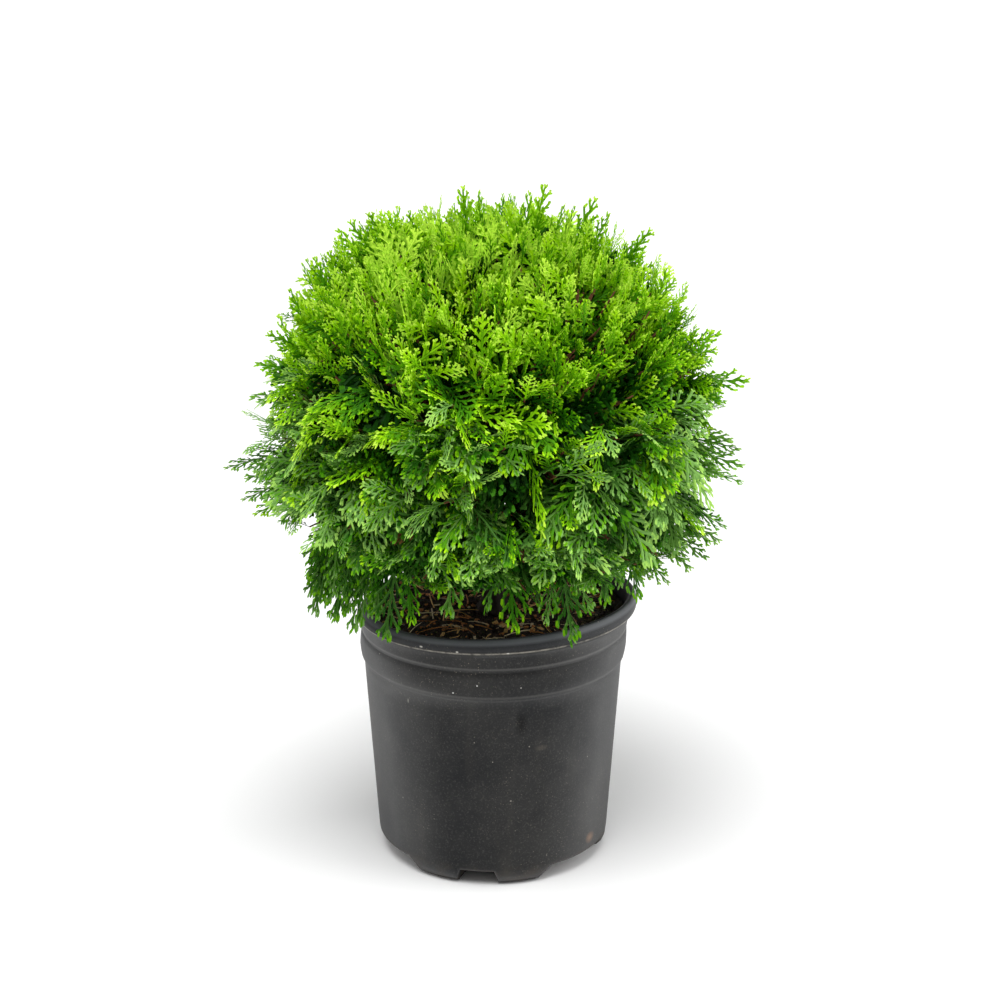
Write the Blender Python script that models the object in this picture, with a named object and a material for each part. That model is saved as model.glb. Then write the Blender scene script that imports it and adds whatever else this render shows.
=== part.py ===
"""Potted globe arborvitae: nursery pot, soil, trunk, boughs and masses of foliage.

Lengths are in metres and +Z is up. The pot's axis is the Z axis, its underside
lies on z = 0, and the side that the photograph shows faces -Y, with +X right.
"""
import math
import random

import bmesh
import bpy
import numpy as np
from mathutils import Vector
from mathutils.bvhtree import BVHTree

# Clearance between neighbouring solids, and how close vertices are merged.
GAP = 0.0003
MERGE_DISTANCE = 0.000002

# Outer profile of the pot from its foot to its lip, as radius and height.
WALL_FOOT = (0.1137, 0.0200)
WALL_TOP = (0.1264, 0.1995)
BAND_PROFILE = (
    (0.1290, 0.2045),
    (0.1306, 0.2150),
    (0.1300, 0.2275),
    (0.1288, 0.2292),
    (0.1297, 0.2310),
    (0.1302, 0.2390),
    (0.1320, 0.2470),
    (0.1352, 0.2472),
    (0.1360, 0.2495),
    (0.1346, 0.2545),
    (0.1310, 0.2580),
    (0.1278, 0.2582),
    (0.1254, 0.2555),
)
# Inner profile from the lip to the floor.
INNER_PROFILE = (
    (0.1256, 0.2480),
    (0.1270, 0.2400),
    (0.1270, 0.2080),
    (0.1240, 0.1990),
    (0.1111, 0.0220),
)
LIP_TOP = 0.2582
LIP_CLEAR_RADIUS = 0.1390

# The flat underside, the rounded bottom corner and the notches that drain it.
FLOOR_FLAT_RADIUS = 0.0800
FOOT_RADIUS = 0.1005
CORNER_ROWS = ((0.0050, 0.0017), (0.0091, 0.0058), (0.0122, 0.0125))
INNER_CORNER_RADIUS = 0.1030
FLOOR_THICKNESS = 0.0040
NOTCH_HEIGHT = 0.0160
NOTCH_LEAN = 0.0105
NOTCH_GROUPS = 3
NOTCH_CENTRE = math.radians(-98.0)
NOTCH_STATIONS = (-60, -50, -39, -33, -22, -11, -8.5, 0, 8.5, 11, 22, 33, 39, 50)
NARROW_NOTCH_HALF = 8.5
WIDE_NOTCH_FROM = 39.0

# The soft lip is pulled up towards the front right and over to the right.
RIM_LIFT = 0.0075
RIM_LIFT_TOWARDS = math.radians(-45.0)
RIM_SHIFT = 0.0045
RIM_WARP_FROM = 0.1900
RIM_WARP_SPAN = 0.0600
RIM_WARP_MOST = 1.2
LIP_LIFT_SHARE = 1.35

# Soil: a low mound with soft bumps, flat round the trunk.
SOIL_EDGE = 0.2440
SOIL_MOUND = 0.0025
SOIL_MOUND_RADIUS = 0.1200
SOIL_BUMP = 0.0008
SOIL_WAVES = ((3.0, 40.0), (7.0, -60.0))
SOIL_RING_RADII = (0.0250, 0.0620, 0.1000)

# Trunk: sections as height above the soil and radius, and its lean for each metre.
TRUNK_SIDES = 10
TRUNK_SECTIONS = (
    (0.0000, 0.0170),
    (0.0060, 0.0130),
    (0.0180, 0.0105),
    (0.0500, 0.0092),
    (0.1000, 0.0076),
    (0.1600, 0.0060),
    (0.2150, 0.0045),
    (0.2550, 0.0034),
)
TRUNK_LEAN = (0.022, 0.014)
FLARE_LOBES = 5
FLARE_DEPTH = 0.16
FLARE_HEIGHT = 0.018

# Crown: a superellipsoid about its centre that droops further on the left.
CROWN_CENTRE = 0.4200
CROWN_RADIUS = 0.2380
CROWN_ABOVE = 0.2330
CROWN_BELOW = 0.2320
CROWN_DROOP = 0.0200
CROWN_DROOP_TOWARDS = math.radians(180.0)
UPPER_POWER = 2.4
LOWER_POWER = 2.0

# Masses: one on top and two rings, as ring, radius, height, count, first azimuth.
TOP_SEED = (0.004, 0.0, 0.600)
RINGS = (
    ("upper", 0.135, 0.520, 5, -90.0),
    ("lower", 0.165, 0.370, 7, -116.0),
)
SEED_WAVE = (0.010, 2.3, 1.0)
RING_CLEAR = {"upper": 0.036, "lower": 0.046}
SEAT_ON_LIP = 0.0012
LIP_PLANE_TURNS = (-0.5, 0.0, 0.5)
DRAPE_SLOPE = -0.35
DRAPE_SIDE = -0.5

# Boughs: heights of foot and tip, radius at the foot, and how they sag and taper.
BOUGH_FOOT = {"upper": 0.345, "lower": 0.284}
BOUGH_TIP = {"upper": 0.455, "lower": 0.338}
BOUGH_RADIUS = {"upper": 0.0036, "lower": 0.0044}
BOUGH_STAGGER = 0.012
BOUGH_SAG = (0.006, -0.004)
BOUGH_TIP_SHARE = 0.62
BOUGH_SIDES = 8
BOUGH_STEPS = 4

# Stem, core and twigs of one mass. A level is 0 at the crown's centre and 1 on its outline.
CORE_LEVEL = 0.82
HUB_LEVEL = 0.50
TOP_HUB_RISE = 0.045
STEM_RADIUS = 0.0032
STEM_FOOT_SHARE = 0.8
STEM_SIDES = 6
TWIG_COUNT = 90
TWIG_LEVEL = 0.74
TWIG_RADIUS = 0.0021
TWIG_TAPER = 0.8
TWIG_SIDES = 3
TWIG_LOWEST = -0.80
CELL_MARGIN = 0.0003
TWIG_MARGIN = 0.0030

# Sprays: toothed blades in fans of three. Shares are of a blade's length.
BLADE_THICKNESS = 0.0015
BLADE_LENGTH = (0.055, 0.105)
BLADE_TIP_LEVEL = (0.955, 1.0)
BLADE_ROOT = 0.040
BLADE_TOOTH_AT = (0.58, 0.78)
BLADE_TOOTH_WIDE = (0.30, 0.40)
BLADE_NOTCH_BACK = (0.02, 0.10)
BLADE_NOTCH_WIDE = (0.13, 0.18)
BLADE_LOWEST = 0.2400
FAN_TURNS = (0.0, 1.0, -1.0)
FAN_STEP = 0.014
FAN_SPREAD = math.radians(48.0)
FAN_SPREAD_VARIES = (0.75, 1.2)
FAN_ROLL = 1.10
TRIES = 8
ROLL_PER_TRY = 0.5
EASE_PER_TRY = math.radians(9.0)
LEAN_PER_TRY = 0.13
SHRINK_PER_TRY = 0.05
FIRST_RANDOM_SEED = 4100

# A spray's angle above the level, from the skirt over the side to the top.
LIFT_AT_SIDE = -22.0
LIFT_TO_TOP = 104.0
LIFT_TO_SKIRT = 36.0
LIFT_POWER = 0.8

# Furthest tips of the crown, as x, y and z, each with a slimmer blade of its own.
LONG_TIPS = (
    (-0.2560, -0.020, 0.394),
    (-0.2440, 0.030, 0.372),
    (0.2430, -0.010, 0.478),
    (0.2430, -0.030, 0.374),
    (0.2330, 0.020, 0.408),
    (0.0490, -0.010, 0.671),
    (-0.0280, 0.000, 0.665),
    (0.0950, 0.010, 0.656),
    (0.1480, 0.010, 0.625),
    (-0.0980, 0.000, 0.646),
    (-0.1340, -0.010, 0.636),
    (-0.1600, -0.010, 0.614),
    (-0.1480, -0.030, 0.626),
    (-0.2340, 0.000, 0.482),
    (0.2120, 0.000, 0.322),
    (0.0200, -0.250, 0.385),
    (-0.0600, 0.248, 0.400),
    (-0.1440, -0.060, 0.258),
    (-0.1000, -0.116, 0.263),
)
LONG_BLADE = 0.075
LONG_BLADE_SLIMMER = 0.55
LONG_ROOT_SUNK = 0.012
LONG_SIDE_FROM = 0.100

UP = Vector((0.0, 0.0, 1.0))


def clear_scene():
    """Remove every object that the scene starts with."""
    for item in list(bpy.data.objects):
        bpy.data.objects.remove(item, do_unlink=True)


def make_material(name, colour, roughness):
    """Return a plain Principled material."""
    material = bpy.data.materials.new(name)
    material.use_nodes = True
    shader = material.node_tree.nodes["Principled BSDF"]
    shader.inputs["Base Color"].default_value = (*colour, 1.0)
    shader.inputs["Roughness"].default_value = roughness
    shader.inputs["Metallic"].default_value = 0.0
    return material


def make_object(name, points, faces, collection=None):
    """Return a closed mesh object, its faces turned outwards."""
    mesh = bpy.data.meshes.new(name)
    mesh.from_pydata([tuple(point) for point in points], [], faces)
    work = bmesh.new()
    work.from_mesh(mesh)
    bmesh.ops.recalc_face_normals(work, faces=work.faces)
    work.to_mesh(mesh)
    work.free()
    item = bpy.data.objects.new(name, mesh)
    home = collection or bpy.context.scene.collection
    home.objects.link(item)
    return item


def dress(item, material, smooth):
    """Give a finished node its one material and its shading."""
    item.data.materials.clear()
    item.data.materials.append(material)
    for face in item.data.polygons:
        face.use_smooth = smooth


def apply_modifiers(item):
    """Replace the object's mesh by its evaluated one, with no modifier left."""
    graph = bpy.context.evaluated_depsgraph_get()
    solid = bpy.data.meshes.new_from_object(item.evaluated_get(graph))
    item.modifiers.clear()
    item.data = solid


def cut_away(item, cutter):
    """Subtract the cutter from the object."""
    modifier = item.modifiers.new("cut", "BOOLEAN")
    modifier.operation = "DIFFERENCE"
    modifier.solver = "EXACT"
    modifier.object = cutter
    apply_modifiers(item)


def join_collection(item, collection):
    """Fuse everything in the collection into the object, then remove it."""
    modifier = item.modifiers.new("join", "BOOLEAN")
    modifier.operation = "UNION"
    modifier.solver = "MANIFOLD"
    modifier.operand_type = "COLLECTION"
    modifier.collection = collection
    apply_modifiers(item)
    for part in list(collection.objects):
        bpy.data.objects.remove(part, do_unlink=True)
    bpy.data.collections.remove(collection)


def grow_shell(start, left):
    """Take every vertex joined to the start out of the set and return them."""
    shell = [start]
    for vertex in shell:
        for edge in vertex.link_edges:
            other = edge.other_vert(vertex)
            if other in left:
                left.remove(other)
                shell.append(other)
    return shell


def keep_largest_shell(item):
    """Drop loose scraps and sealed hollows, so that one closed body is left."""
    work = bmesh.new()
    work.from_mesh(item.data)
    bmesh.ops.remove_doubles(work, verts=work.verts, dist=MERGE_DISTANCE)
    bmesh.ops.triangulate(work, faces=work.faces)
    shells = []
    left = set(work.verts)
    while left:
        shells.append(grow_shell(left.pop(), left))
    shells.sort(key=len)
    scraps = [vertex for shell in shells[:-1] for vertex in shell]
    bmesh.ops.delete(work, geom=scraps, context="VERTS")
    work.to_mesh(item.data)
    work.free()


# Pot and soil.

def station_azimuths():
    """Azimuths of the pot's vertices, closest together at the notch edges."""
    azimuths = []
    for group in range(NOTCH_GROUPS):
        turn = group * 2.0 * math.pi / NOTCH_GROUPS
        for station in NOTCH_STATIONS:
            azimuths.append(NOTCH_CENTRE + turn + math.radians(station))
    return np.array(azimuths)


def notch_heights():
    """Height of the foot's edge at each azimuth: 0 on a foot, raised in a notch."""
    heights = []
    for station in NOTCH_STATIONS * NOTCH_GROUPS:
        angle = abs(station)
        raised = angle <= NARROW_NOTCH_HALF or angle >= WIDE_NOTCH_FROM
        heights.append(NOTCH_HEIGHT if raised else 0.0)
    return np.array(heights)


def ring_points(radii, heights, azimuths):
    """Points of one ring, with the soft lip's lift and shift where it is high."""
    share = np.clip((heights - RIM_WARP_FROM) / RIM_WARP_SPAN, 0.0, RIM_WARP_MOST) ** 3
    x = radii * np.cos(azimuths) + RIM_SHIFT * share
    y = radii * np.sin(azimuths)
    z = heights + RIM_LIFT * share * np.cos(azimuths - RIM_LIFT_TOWARDS)
    return np.stack([x, y, z], axis=1)


def profile_rings(profile, azimuths, inset=0.0):
    """One ring for each profile point, inset towards the axis and upwards."""
    return [ring_points(radius - inset, height + inset, azimuths) for radius, height in profile]


def corner_rings(azimuths):
    """Rings from the flat underside round the bottom corner, over the notches."""
    notch = notch_heights()
    left = 1.0 - notch / WALL_FOOT[1]
    lean = NOTCH_LEAN * notch / NOTCH_HEIGHT
    reach = WALL_FOOT[0] - FOOT_RADIUS
    rings = [ring_points(FLOOR_FLAT_RADIUS, 0.0, azimuths)]
    rings.append(ring_points(FOOT_RADIUS + lean, notch, azimuths))
    for outwards, upwards in CORNER_ROWS:
        radii = FOOT_RADIUS + outwards + lean * (1.0 - outwards / reach)
        rings.append(ring_points(radii, notch + upwards * left, azimuths))
    return rings


def inner_rings(profile, azimuths, inset):
    """Rings of the inside wall and floor, inset towards the axis and upwards."""
    lift = FLOOR_THICKNESS + inset
    rings = profile_rings(profile, azimuths, inset)
    rings.append(ring_points(INNER_CORNER_RADIUS - inset, notch_heights() + lift, azimuths))
    rings.append(ring_points(FLOOR_FLAT_RADIUS - inset, lift, azimuths))
    return rings


def skin_rings(rings, first_cap, last_cap):
    """Join rings with triangles and close both ends on a centre point."""
    count = len(rings[0])
    faces = []
    for row in range(len(rings) - 1):
        for step in range(count):
            a = row * count + step
            b = row * count + (step + 1) % count
            faces.append((a, b, b + count))
            faces.append((a, b + count, a + count))
    first = len(rings) * count
    base = first - count
    for step in range(count):
        after = (step + 1) % count
        faces.append((first, after, step))
        faces.append((first + 1, base + step, base + after))
    return np.concatenate(rings + [[first_cap, last_cap]]), faces


def make_pot(material):
    """Pot: one closed wall with a lip, two bands, a floor and notched foot."""
    azimuths = station_azimuths()
    outside = profile_rings((WALL_FOOT, WALL_TOP) + BAND_PROFILE, azimuths)
    inside = inner_rings(INNER_PROFILE, azimuths, 0.0)
    rings = corner_rings(azimuths) + outside + inside
    points, faces = skin_rings(rings, (0.0, 0.0, 0.0), (0.0, 0.0, FLOOR_THICKNESS))
    pot = make_object("pot", points, faces)
    dress(pot, material, True)


def soil_height(radius, azimuths):
    """Height of the soil's top at a radius."""
    mound = SOIL_MOUND * (1.0 - (radius / SOIL_MOUND_RADIUS) ** 2)
    bumps = sum(np.sin(turns * azimuths + waves * radius) for turns, waves in SOIL_WAVES)
    bumps = bumps * (radius > SOIL_RING_RADII[0])
    return SOIL_EDGE + mound + SOIL_BUMP * bumps


def soil_top():
    """Height of the flat soil round the trunk."""
    return SOIL_EDGE + SOIL_MOUND * (1.0 - (SOIL_RING_RADII[0] / SOIL_MOUND_RADIUS) ** 2)


def soil_edge_radius():
    """Inner radius of the pot at the height of the soil's edge."""
    (high_radius, high), (low_radius, low) = INNER_PROFILE[:2]
    share = (SOIL_EDGE - low) / (high - low)
    return low_radius + share * (high_radius - low_radius)


def make_soil(material):
    """Soil: fills the pot with a thin clearance, up to just below the lip."""
    azimuths = station_azimuths()
    rings = []
    for radius in SOIL_RING_RADII:
        across = (radius * np.cos(azimuths), radius * np.sin(azimuths))
        rings.append(np.stack([*across, soil_height(radius, azimuths)], axis=1))
    rings.append(ring_points(soil_edge_radius() - 2.0 * GAP, SOIL_EDGE, azimuths))
    rings += inner_rings(INNER_PROFILE[1:], azimuths, GAP)
    points, faces = skin_rings(rings, (0.0, 0.0, soil_top()), (0.0, 0.0, FLOOR_THICKNESS + GAP))
    soil = make_object("soil", points, faces)
    dress(soil, material, True)


# Trunk and boughs.

def tube_faces(rows, sides):
    """Faces of a tube of rings with both ends closed."""
    faces = [tuple(reversed(range(sides))), tuple(range((rows - 1) * sides, rows * sides))]
    for row in range(rows - 1):
        for step in range(sides):
            a = row * sides + step
            b = row * sides + (step + 1) % sides
            faces.append((a, b, b + sides, a + sides))
    return faces


def limb(name, path, radii, sides, collection=None):
    """Closed tapering tube along a path."""
    points = []
    for index, centre in enumerate(path):
        before = path[max(index - 1, 0)]
        after = path[min(index + 1, len(path) - 1)]
        tangent = (after - before).normalized()
        upright = tangent.orthogonal() if tangent.cross(UP).length < 0.1 else tangent.cross(UP)
        side = upright.normalized()
        other = tangent.cross(side)
        for step in range(sides):
            angle = 2.0 * math.pi * step / sides
            spoke = side * math.cos(angle) + other * math.sin(angle)
            points.append(centre + spoke * radii[index])
    return make_object(name, points, tube_faces(len(path), sides), collection)


def trunk_centre(height):
    """Centre line of the trunk at a height above the soil."""
    return Vector((TRUNK_LEAN[0] * height, TRUNK_LEAN[1] * height, soil_top() + GAP + height))


def make_trunk(name, grow):
    """Trunk with a lobed root flare and a flat foot, grown by a clearance."""
    points = []
    for height, radius in TRUNK_SECTIONS:
        flare = FLARE_DEPTH * max(0.0, 1.0 - height / FLARE_HEIGHT)
        for step in range(TRUNK_SIDES):
            angle = 2.0 * math.pi * step / TRUNK_SIDES
            lobed = radius * (1.0 + flare * math.cos(FLARE_LOBES * angle)) + grow
            points.append(trunk_centre(height) + outward(angle) * lobed)
    return make_object(name, points, tube_faces(len(TRUNK_SECTIONS), TRUNK_SIDES))


def leader_tip():
    """Top of the trunk."""
    return trunk_centre(TRUNK_SECTIONS[-1][0])


def bough_path(index, seeds):
    """Centre line of a bough, from inside the trunk to the edge of its mass."""
    _, ring, azimuth, _ = seeds[index]
    stagger = BOUGH_STAGGER * (index % 2)
    base = trunk_centre(BOUGH_FOOT[ring] + stagger - soil_top() - GAP)
    tip = outward(azimuth) * (RING_CLEAR[ring] - BOUGH_RADIUS[ring])
    tip.z = BOUGH_TIP[ring] + stagger
    middle = base.lerp(tip, 0.5) + outward(azimuth) * BOUGH_SAG[0] + UP * BOUGH_SAG[1]
    path = []
    for step in range(BOUGH_STEPS + 1):
        share = step / BOUGH_STEPS
        path.append(base.lerp(middle, share).lerp(middle.lerp(tip, share), share))
    return path


def make_bough(index, seeds, cutter, material):
    """Make a bough cut clear of the trunk, and return where its mass's stem starts."""
    name, ring, _, _ = seeds[index]
    path = bough_path(index, seeds)
    steps = [step / BOUGH_STEPS for step in range(BOUGH_STEPS + 1)]
    radii = [BOUGH_RADIUS[ring] * (1.0 + (BOUGH_TIP_SHARE - 1.0) * step) for step in steps]
    bough = limb(f"bough_{name}", path, radii, BOUGH_SIDES)
    cut_away(bough, cutter)
    keep_largest_shell(bough)
    dress(bough, material, True)
    heading = (path[-1] - path[-2]).normalized()
    return path[-1] + heading * GAP, heading


# Crown and the space of each mass.

def outward(azimuth):
    """Level unit vector at an azimuth."""
    return Vector((math.cos(azimuth), math.sin(azimuth), 0.0))


def crown_level(point):
    """Level of a point in the crown: 0 at its centre, 1 on its outline."""
    radius = math.hypot(point.x, point.y)
    rise = point.z - CROWN_CENTRE
    power, height = UPPER_POWER, CROWN_ABOVE
    if rise < 0.0:
        azimuth = math.atan2(point.y, point.x)
        droop = CROWN_DROOP * math.cos(azimuth - CROWN_DROOP_TOWARDS)
        power, height = LOWER_POWER, CROWN_BELOW + droop
    total = (radius / CROWN_RADIUS) ** power + (abs(rise) / height) ** power
    return total ** (1.0 / power)


def crown_point(direction, level):
    """Point at a level in a direction from the crown's centre."""
    centre = UP * CROWN_CENTRE
    return centre + direction * (level / crown_level(centre + direction))


def mass_seeds():
    """Name, ring, azimuth and seed point of each mass."""
    seeds = [("top", "top", 0.0, Vector(TOP_SEED))]
    depth, rate, phase = SEED_WAVE
    for ring, radius, height, count, first in RINGS:
        for step in range(count):
            azimuth = math.radians(first) + 2.0 * math.pi * step / count
            wave = depth * math.sin(rate * step + phase)
            point = outward(azimuth) * radius + UP * (height + wave)
            seeds.append((f"{ring}_{step + 1}", ring, azimuth, point))
    return seeds


def lip_planes(azimuth):
    """Planes that keep a lower mass above the lip, sloping down where it drapes over."""
    slope = DRAPE_SLOPE if math.cos(azimuth) < DRAPE_SIDE else 0.0
    planes = []
    for turn in LIP_PLANE_TURNS:
        spoke = outward(azimuth + turn)
        lift = LIP_LIFT_SHARE * RIM_LIFT * math.cos(azimuth + turn - RIM_LIFT_TOWARDS)
        foot = spoke * LIP_CLEAR_RADIUS + UP * (LIP_TOP + lift + SEAT_ON_LIP)
        normal = (spoke * slope - UP).normalized()
        planes.append((normal, normal.dot(foot)))
    return planes


def space_planes(index, seeds):
    """Planes (normal, offset) of a mass's space: normal . p <= offset inside it."""
    _, ring, azimuth, seed = seeds[index]
    planes = []
    for other, (_, _, _, point) in enumerate(seeds):
        if other != index:
            normal = (point - seed).normalized()
            planes.append((normal, normal.dot((point + seed) * 0.5) - 0.5 * GAP))
    if ring == "top":
        planes.append((-UP, -(leader_tip().z + GAP)))
    else:
        planes.append((-outward(azimuth), -RING_CLEAR[ring]))
    if ring == "lower":
        planes += lip_planes(azimuth)
    return planes


def room_left(point, planes):
    """Distance from a point to the nearest plane of its space."""
    return min(offset - normal.dot(point) for normal, offset in planes)


def nearest_wall(point, planes):
    """Outward normal of the plane of its space that is nearest to a point."""
    return min(planes, key=lambda plane: plane[1] - plane[0].dot(point))[0]


def nearest_seed(point, seeds):
    """Index of the seed nearest to a point."""
    return min(range(len(seeds)), key=lambda index: (seeds[index][3] - point).length)


def hub_of(index, seeds):
    """Where a mass's stem ends and its twigs begin."""
    _, ring, _, seed = seeds[index]
    if ring == "top":
        return Vector((seed.x, seed.y, leader_tip().z + TOP_HUB_RISE))
    return crown_point((seed - UP * CROWN_CENTRE).normalized(), HUB_LEVEL)


def bisect(low, high, keeps, rounds=24):
    """Largest value from low to high that keeps a condition."""
    for _ in range(rounds):
        middle = 0.5 * (low + high)
        low, high = (middle, high) if keeps(middle) else (low, middle)
    return low


def in_core(point, planes):
    """True where a point lies inside the core of the mass's space."""
    return room_left(point, planes) > 2.0 * CELL_MARGIN and crown_level(point) < CORE_LEVEL


def make_core(name, hub, planes, collection):
    """Coarse closed core that fills the inner part of the mass's space."""
    work = bmesh.new()
    bmesh.ops.create_icosphere(work, subdivisions=2, radius=1.0)
    for vertex in work.verts:
        ray = vertex.co.normalized()
        far = bisect(0.0, 2.0 * CROWN_RADIUS, lambda reach: in_core(hub + ray * reach, planes))
        vertex.co = hub + ray * far
    mesh = bpy.data.meshes.new(name)
    work.to_mesh(mesh)
    work.free()
    collection.objects.link(bpy.data.objects.new(name, mesh))


# Twigs and sprays.

def twig_directions():
    """Even spread of directions over the crown, from its top to its skirt."""
    golden = math.pi * (3.0 - math.sqrt(5.0))
    directions = []
    for step in range(TWIG_COUNT):
        height = 1.0 + (TWIG_LOWEST - 1.0) * (step + 0.5) / TWIG_COUNT
        across = math.sqrt(1.0 - height * height)
        directions.append(outward(golden * step) * across + UP * height)
    return directions


def spray_lift(height):
    """Angle of a spray above the level: upright on top, hanging at the skirt."""
    if height > 0.0:
        return math.radians(LIFT_AT_SIDE + LIFT_TO_TOP * height ** LIFT_POWER)
    return math.radians(LIFT_AT_SIDE + LIFT_TO_SKIRT * height)


def spray_frame(direction, roll, ease):
    """Axis and flat side of the spray at a place on the crown, eased upwards."""
    azimuth = math.atan2(direction.y, direction.x)
    lift = spray_lift(direction.z) + ease
    axis = outward(azimuth) * math.cos(lift) + UP * math.sin(lift)
    level = outward(azimuth + 0.5 * math.pi)
    facing = axis.cross(level)
    return axis, level * math.cos(roll) + facing * math.sin(roll)


def blade_outline(rng):
    """Outline of a fan of scale leaves as shares of its length: root, teeth, tip."""
    tooth = (rng.uniform(*BLADE_TOOTH_AT), rng.uniform(*BLADE_TOOTH_WIDE))
    notch = (tooth[0] - rng.uniform(*BLADE_NOTCH_BACK), rng.uniform(*BLADE_NOTCH_WIDE))
    half = ((0.0, BLADE_ROOT), tooth, notch)
    right = [(along, -wide) for along, wide in half]
    return right + [(1.0, 0.0)] + list(reversed(half))


def blade_points(root, axis, across, length, outline):
    """Both faces of a blade as points."""
    facing = axis.cross(across).normalized() * (0.5 * BLADE_THICKNESS)
    flat = [root + axis * (along * length) + across * (wide * length) for along, wide in outline]
    return [point + facing for point in flat] + [point - facing for point in flat]


def blade_faces():
    """Triangles of a closed blade with seven outline points."""
    cap = ((0, 1, 2), (0, 2, 6), (2, 4, 6), (4, 5, 6), (2, 3, 4))
    faces = list(cap) + [(7 + c, 7 + b, 7 + a) for a, b, c in cap]
    for step in range(7):
        after = (step + 1) % 7
        faces.append((step, 7 + step, 7 + after))
        faces.append((step, 7 + after, after))
    return faces


def add_blade(name, points, planes, collection, placed):
    """Add a blade that keeps to its space and crosses no other, or none."""
    tree = BVHTree.FromPolygons(points, blade_faces())
    if min(room_left(point, planes) for point in points) < CELL_MARGIN:
        return False
    if min(point.z for point in points) < BLADE_LOWEST:
        return False
    if any(tree.overlap(other) for other in placed):
        return False
    placed.append(tree)
    make_object(name, points, blade_faces(), collection)
    return True


def place_blade(name, root, direction, turn, planes, rng, collection, placed):
    """Add one blade of a fan, leaning it off the nearest wall until it fits."""
    wall = nearest_wall(root, planes)
    for attempt in range(TRIES):
        roll = rng.uniform(-FAN_ROLL, FAN_ROLL) * (1.0 + ROLL_PER_TRY * attempt)
        ease = EASE_PER_TRY * attempt * (direction.z < 0.0)
        axis, across = spray_frame(direction, roll, ease)
        angle = turn * FAN_SPREAD * rng.uniform(*FAN_SPREAD_VARIES)
        aim = axis * math.cos(angle) + across * math.sin(angle) - wall * (LEAN_PER_TRY * attempt)
        aim.normalize()
        aside = across * math.cos(angle) - axis * math.sin(angle)
        aside = (aside - aim * aside.dot(aim)).normalized()
        level = rng.uniform(*BLADE_TIP_LEVEL)
        length = bisect(*BLADE_LENGTH, lambda reach: crown_level(root + aim * reach) < level, 12)
        length *= 1.0 - SHRINK_PER_TRY * attempt
        points = blade_points(root, aim, aside, length, blade_outline(rng))
        if add_blade(name, points, planes, collection, placed):
            return


def place_twig(name, hub, direction, planes, rng, collection, placed):
    """Add one twig from the hub towards the crown's skin, with its fan of blades."""
    end = crown_point(direction, TWIG_LEVEL)
    if room_left(end, planes) < TWIG_MARGIN:
        return
    limb(name, [hub, end], [TWIG_RADIUS, TWIG_RADIUS * TWIG_TAPER], TWIG_SIDES, collection)
    _, across = spray_frame(direction, rng.uniform(-FAN_ROLL, FAN_ROLL), 0.0)
    for step, turn in enumerate(FAN_TURNS):
        root = end + across * (turn * FAN_STEP)
        place_blade(f"{name}_{step}", root, direction, turn, planes, rng, collection, placed)


def place_long_tip(name, hub, tip, planes, rng, collection, placed):
    """Add a twig and a slim blade, seen flat from the outside, that ends at a tip."""
    outward_aim = (tip - UP * CROWN_CENTRE).normalized()
    stem_aim = (tip - hub).normalized()
    facing = Vector((0.0, 1.0, 0.0)) if abs(tip.y) < LONG_SIDE_FROM else Vector((1.0, 0.0, 0.0))
    outline = [(along, across * LONG_BLADE_SLIMMER) for along, across in blade_outline(rng)]
    for attempt in range(TRIES):
        aim = outward_aim.lerp(stem_aim, attempt / (TRIES - 1)).normalized()
        root = tip - aim * LONG_BLADE
        points = blade_points(root, aim, aim.cross(facing).normalized(), LONG_BLADE, outline)
        if add_blade(f"{name}_blade", points, planes, collection, placed):
            sunk = root + aim * LONG_ROOT_SUNK
            limb(name, [hub, sunk], [TWIG_RADIUS, TWIG_RADIUS], TWIG_SIDES, collection)
            return


def make_mass(index, seeds, stem_start, heading, material):
    """One mass of foliage: stem, core, twigs and toothed sprays, all fused."""
    name = seeds[index][0]
    planes = space_planes(index, seeds)
    hub = hub_of(index, seeds)
    rng = random.Random(FIRST_RANDOM_SEED + index)
    collection = bpy.data.collections.new(f"foliage_{name}_parts")
    bpy.context.scene.collection.children.link(collection)
    path = [stem_start, stem_start + heading * STEM_RADIUS, hub]
    radii = [STEM_RADIUS * STEM_FOOT_SHARE, STEM_RADIUS, STEM_RADIUS]
    stem = limb(f"foliage_{name}", path, radii, STEM_SIDES)
    make_core(f"core_{name}", hub, planes, collection)
    placed = []
    for step, tip in enumerate(LONG_TIPS):
        point = Vector(tip)
        if nearest_seed(point, seeds) == index:
            place_long_tip(f"tip_{name}_{step}", hub, point, planes, rng, collection, placed)
    for step, direction in enumerate(twig_directions()):
        if nearest_seed(crown_point(direction, TWIG_LEVEL), seeds) == index:
            place_twig(f"twig_{name}_{step}", hub, direction, planes, rng, collection, placed)
    join_collection(stem, collection)
    keep_largest_shell(stem)
    dress(stem, material, False)


def main():
    """Build every node of the plant."""
    clear_scene()
    black = make_material("pot_black_plastic", (0.030, 0.030, 0.033), 0.50)
    earth = make_material("soil_dark", (0.028, 0.017, 0.010), 0.95)
    bark = make_material("bark_brown", (0.130, 0.070, 0.040), 0.90)
    green = make_material("foliage_green", (0.110, 0.260, 0.030), 0.60)
    make_pot(black)
    make_soil(earth)
    dress(make_trunk("trunk", 0.0), bark, True)
    cutter = make_trunk("trunk_cutter", GAP)
    cutter.hide_render = True
    cutter.display_type = "WIRE"
    seeds = mass_seeds()
    make_mass(0, seeds, leader_tip() + UP * GAP, UP, green)
    for index in range(1, len(seeds)):
        start, heading = make_bough(index, seeds, cutter, bark)
        make_mass(index, seeds, start, heading, green)
    bpy.data.objects.remove(cutter, do_unlink=True)


main()
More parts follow.
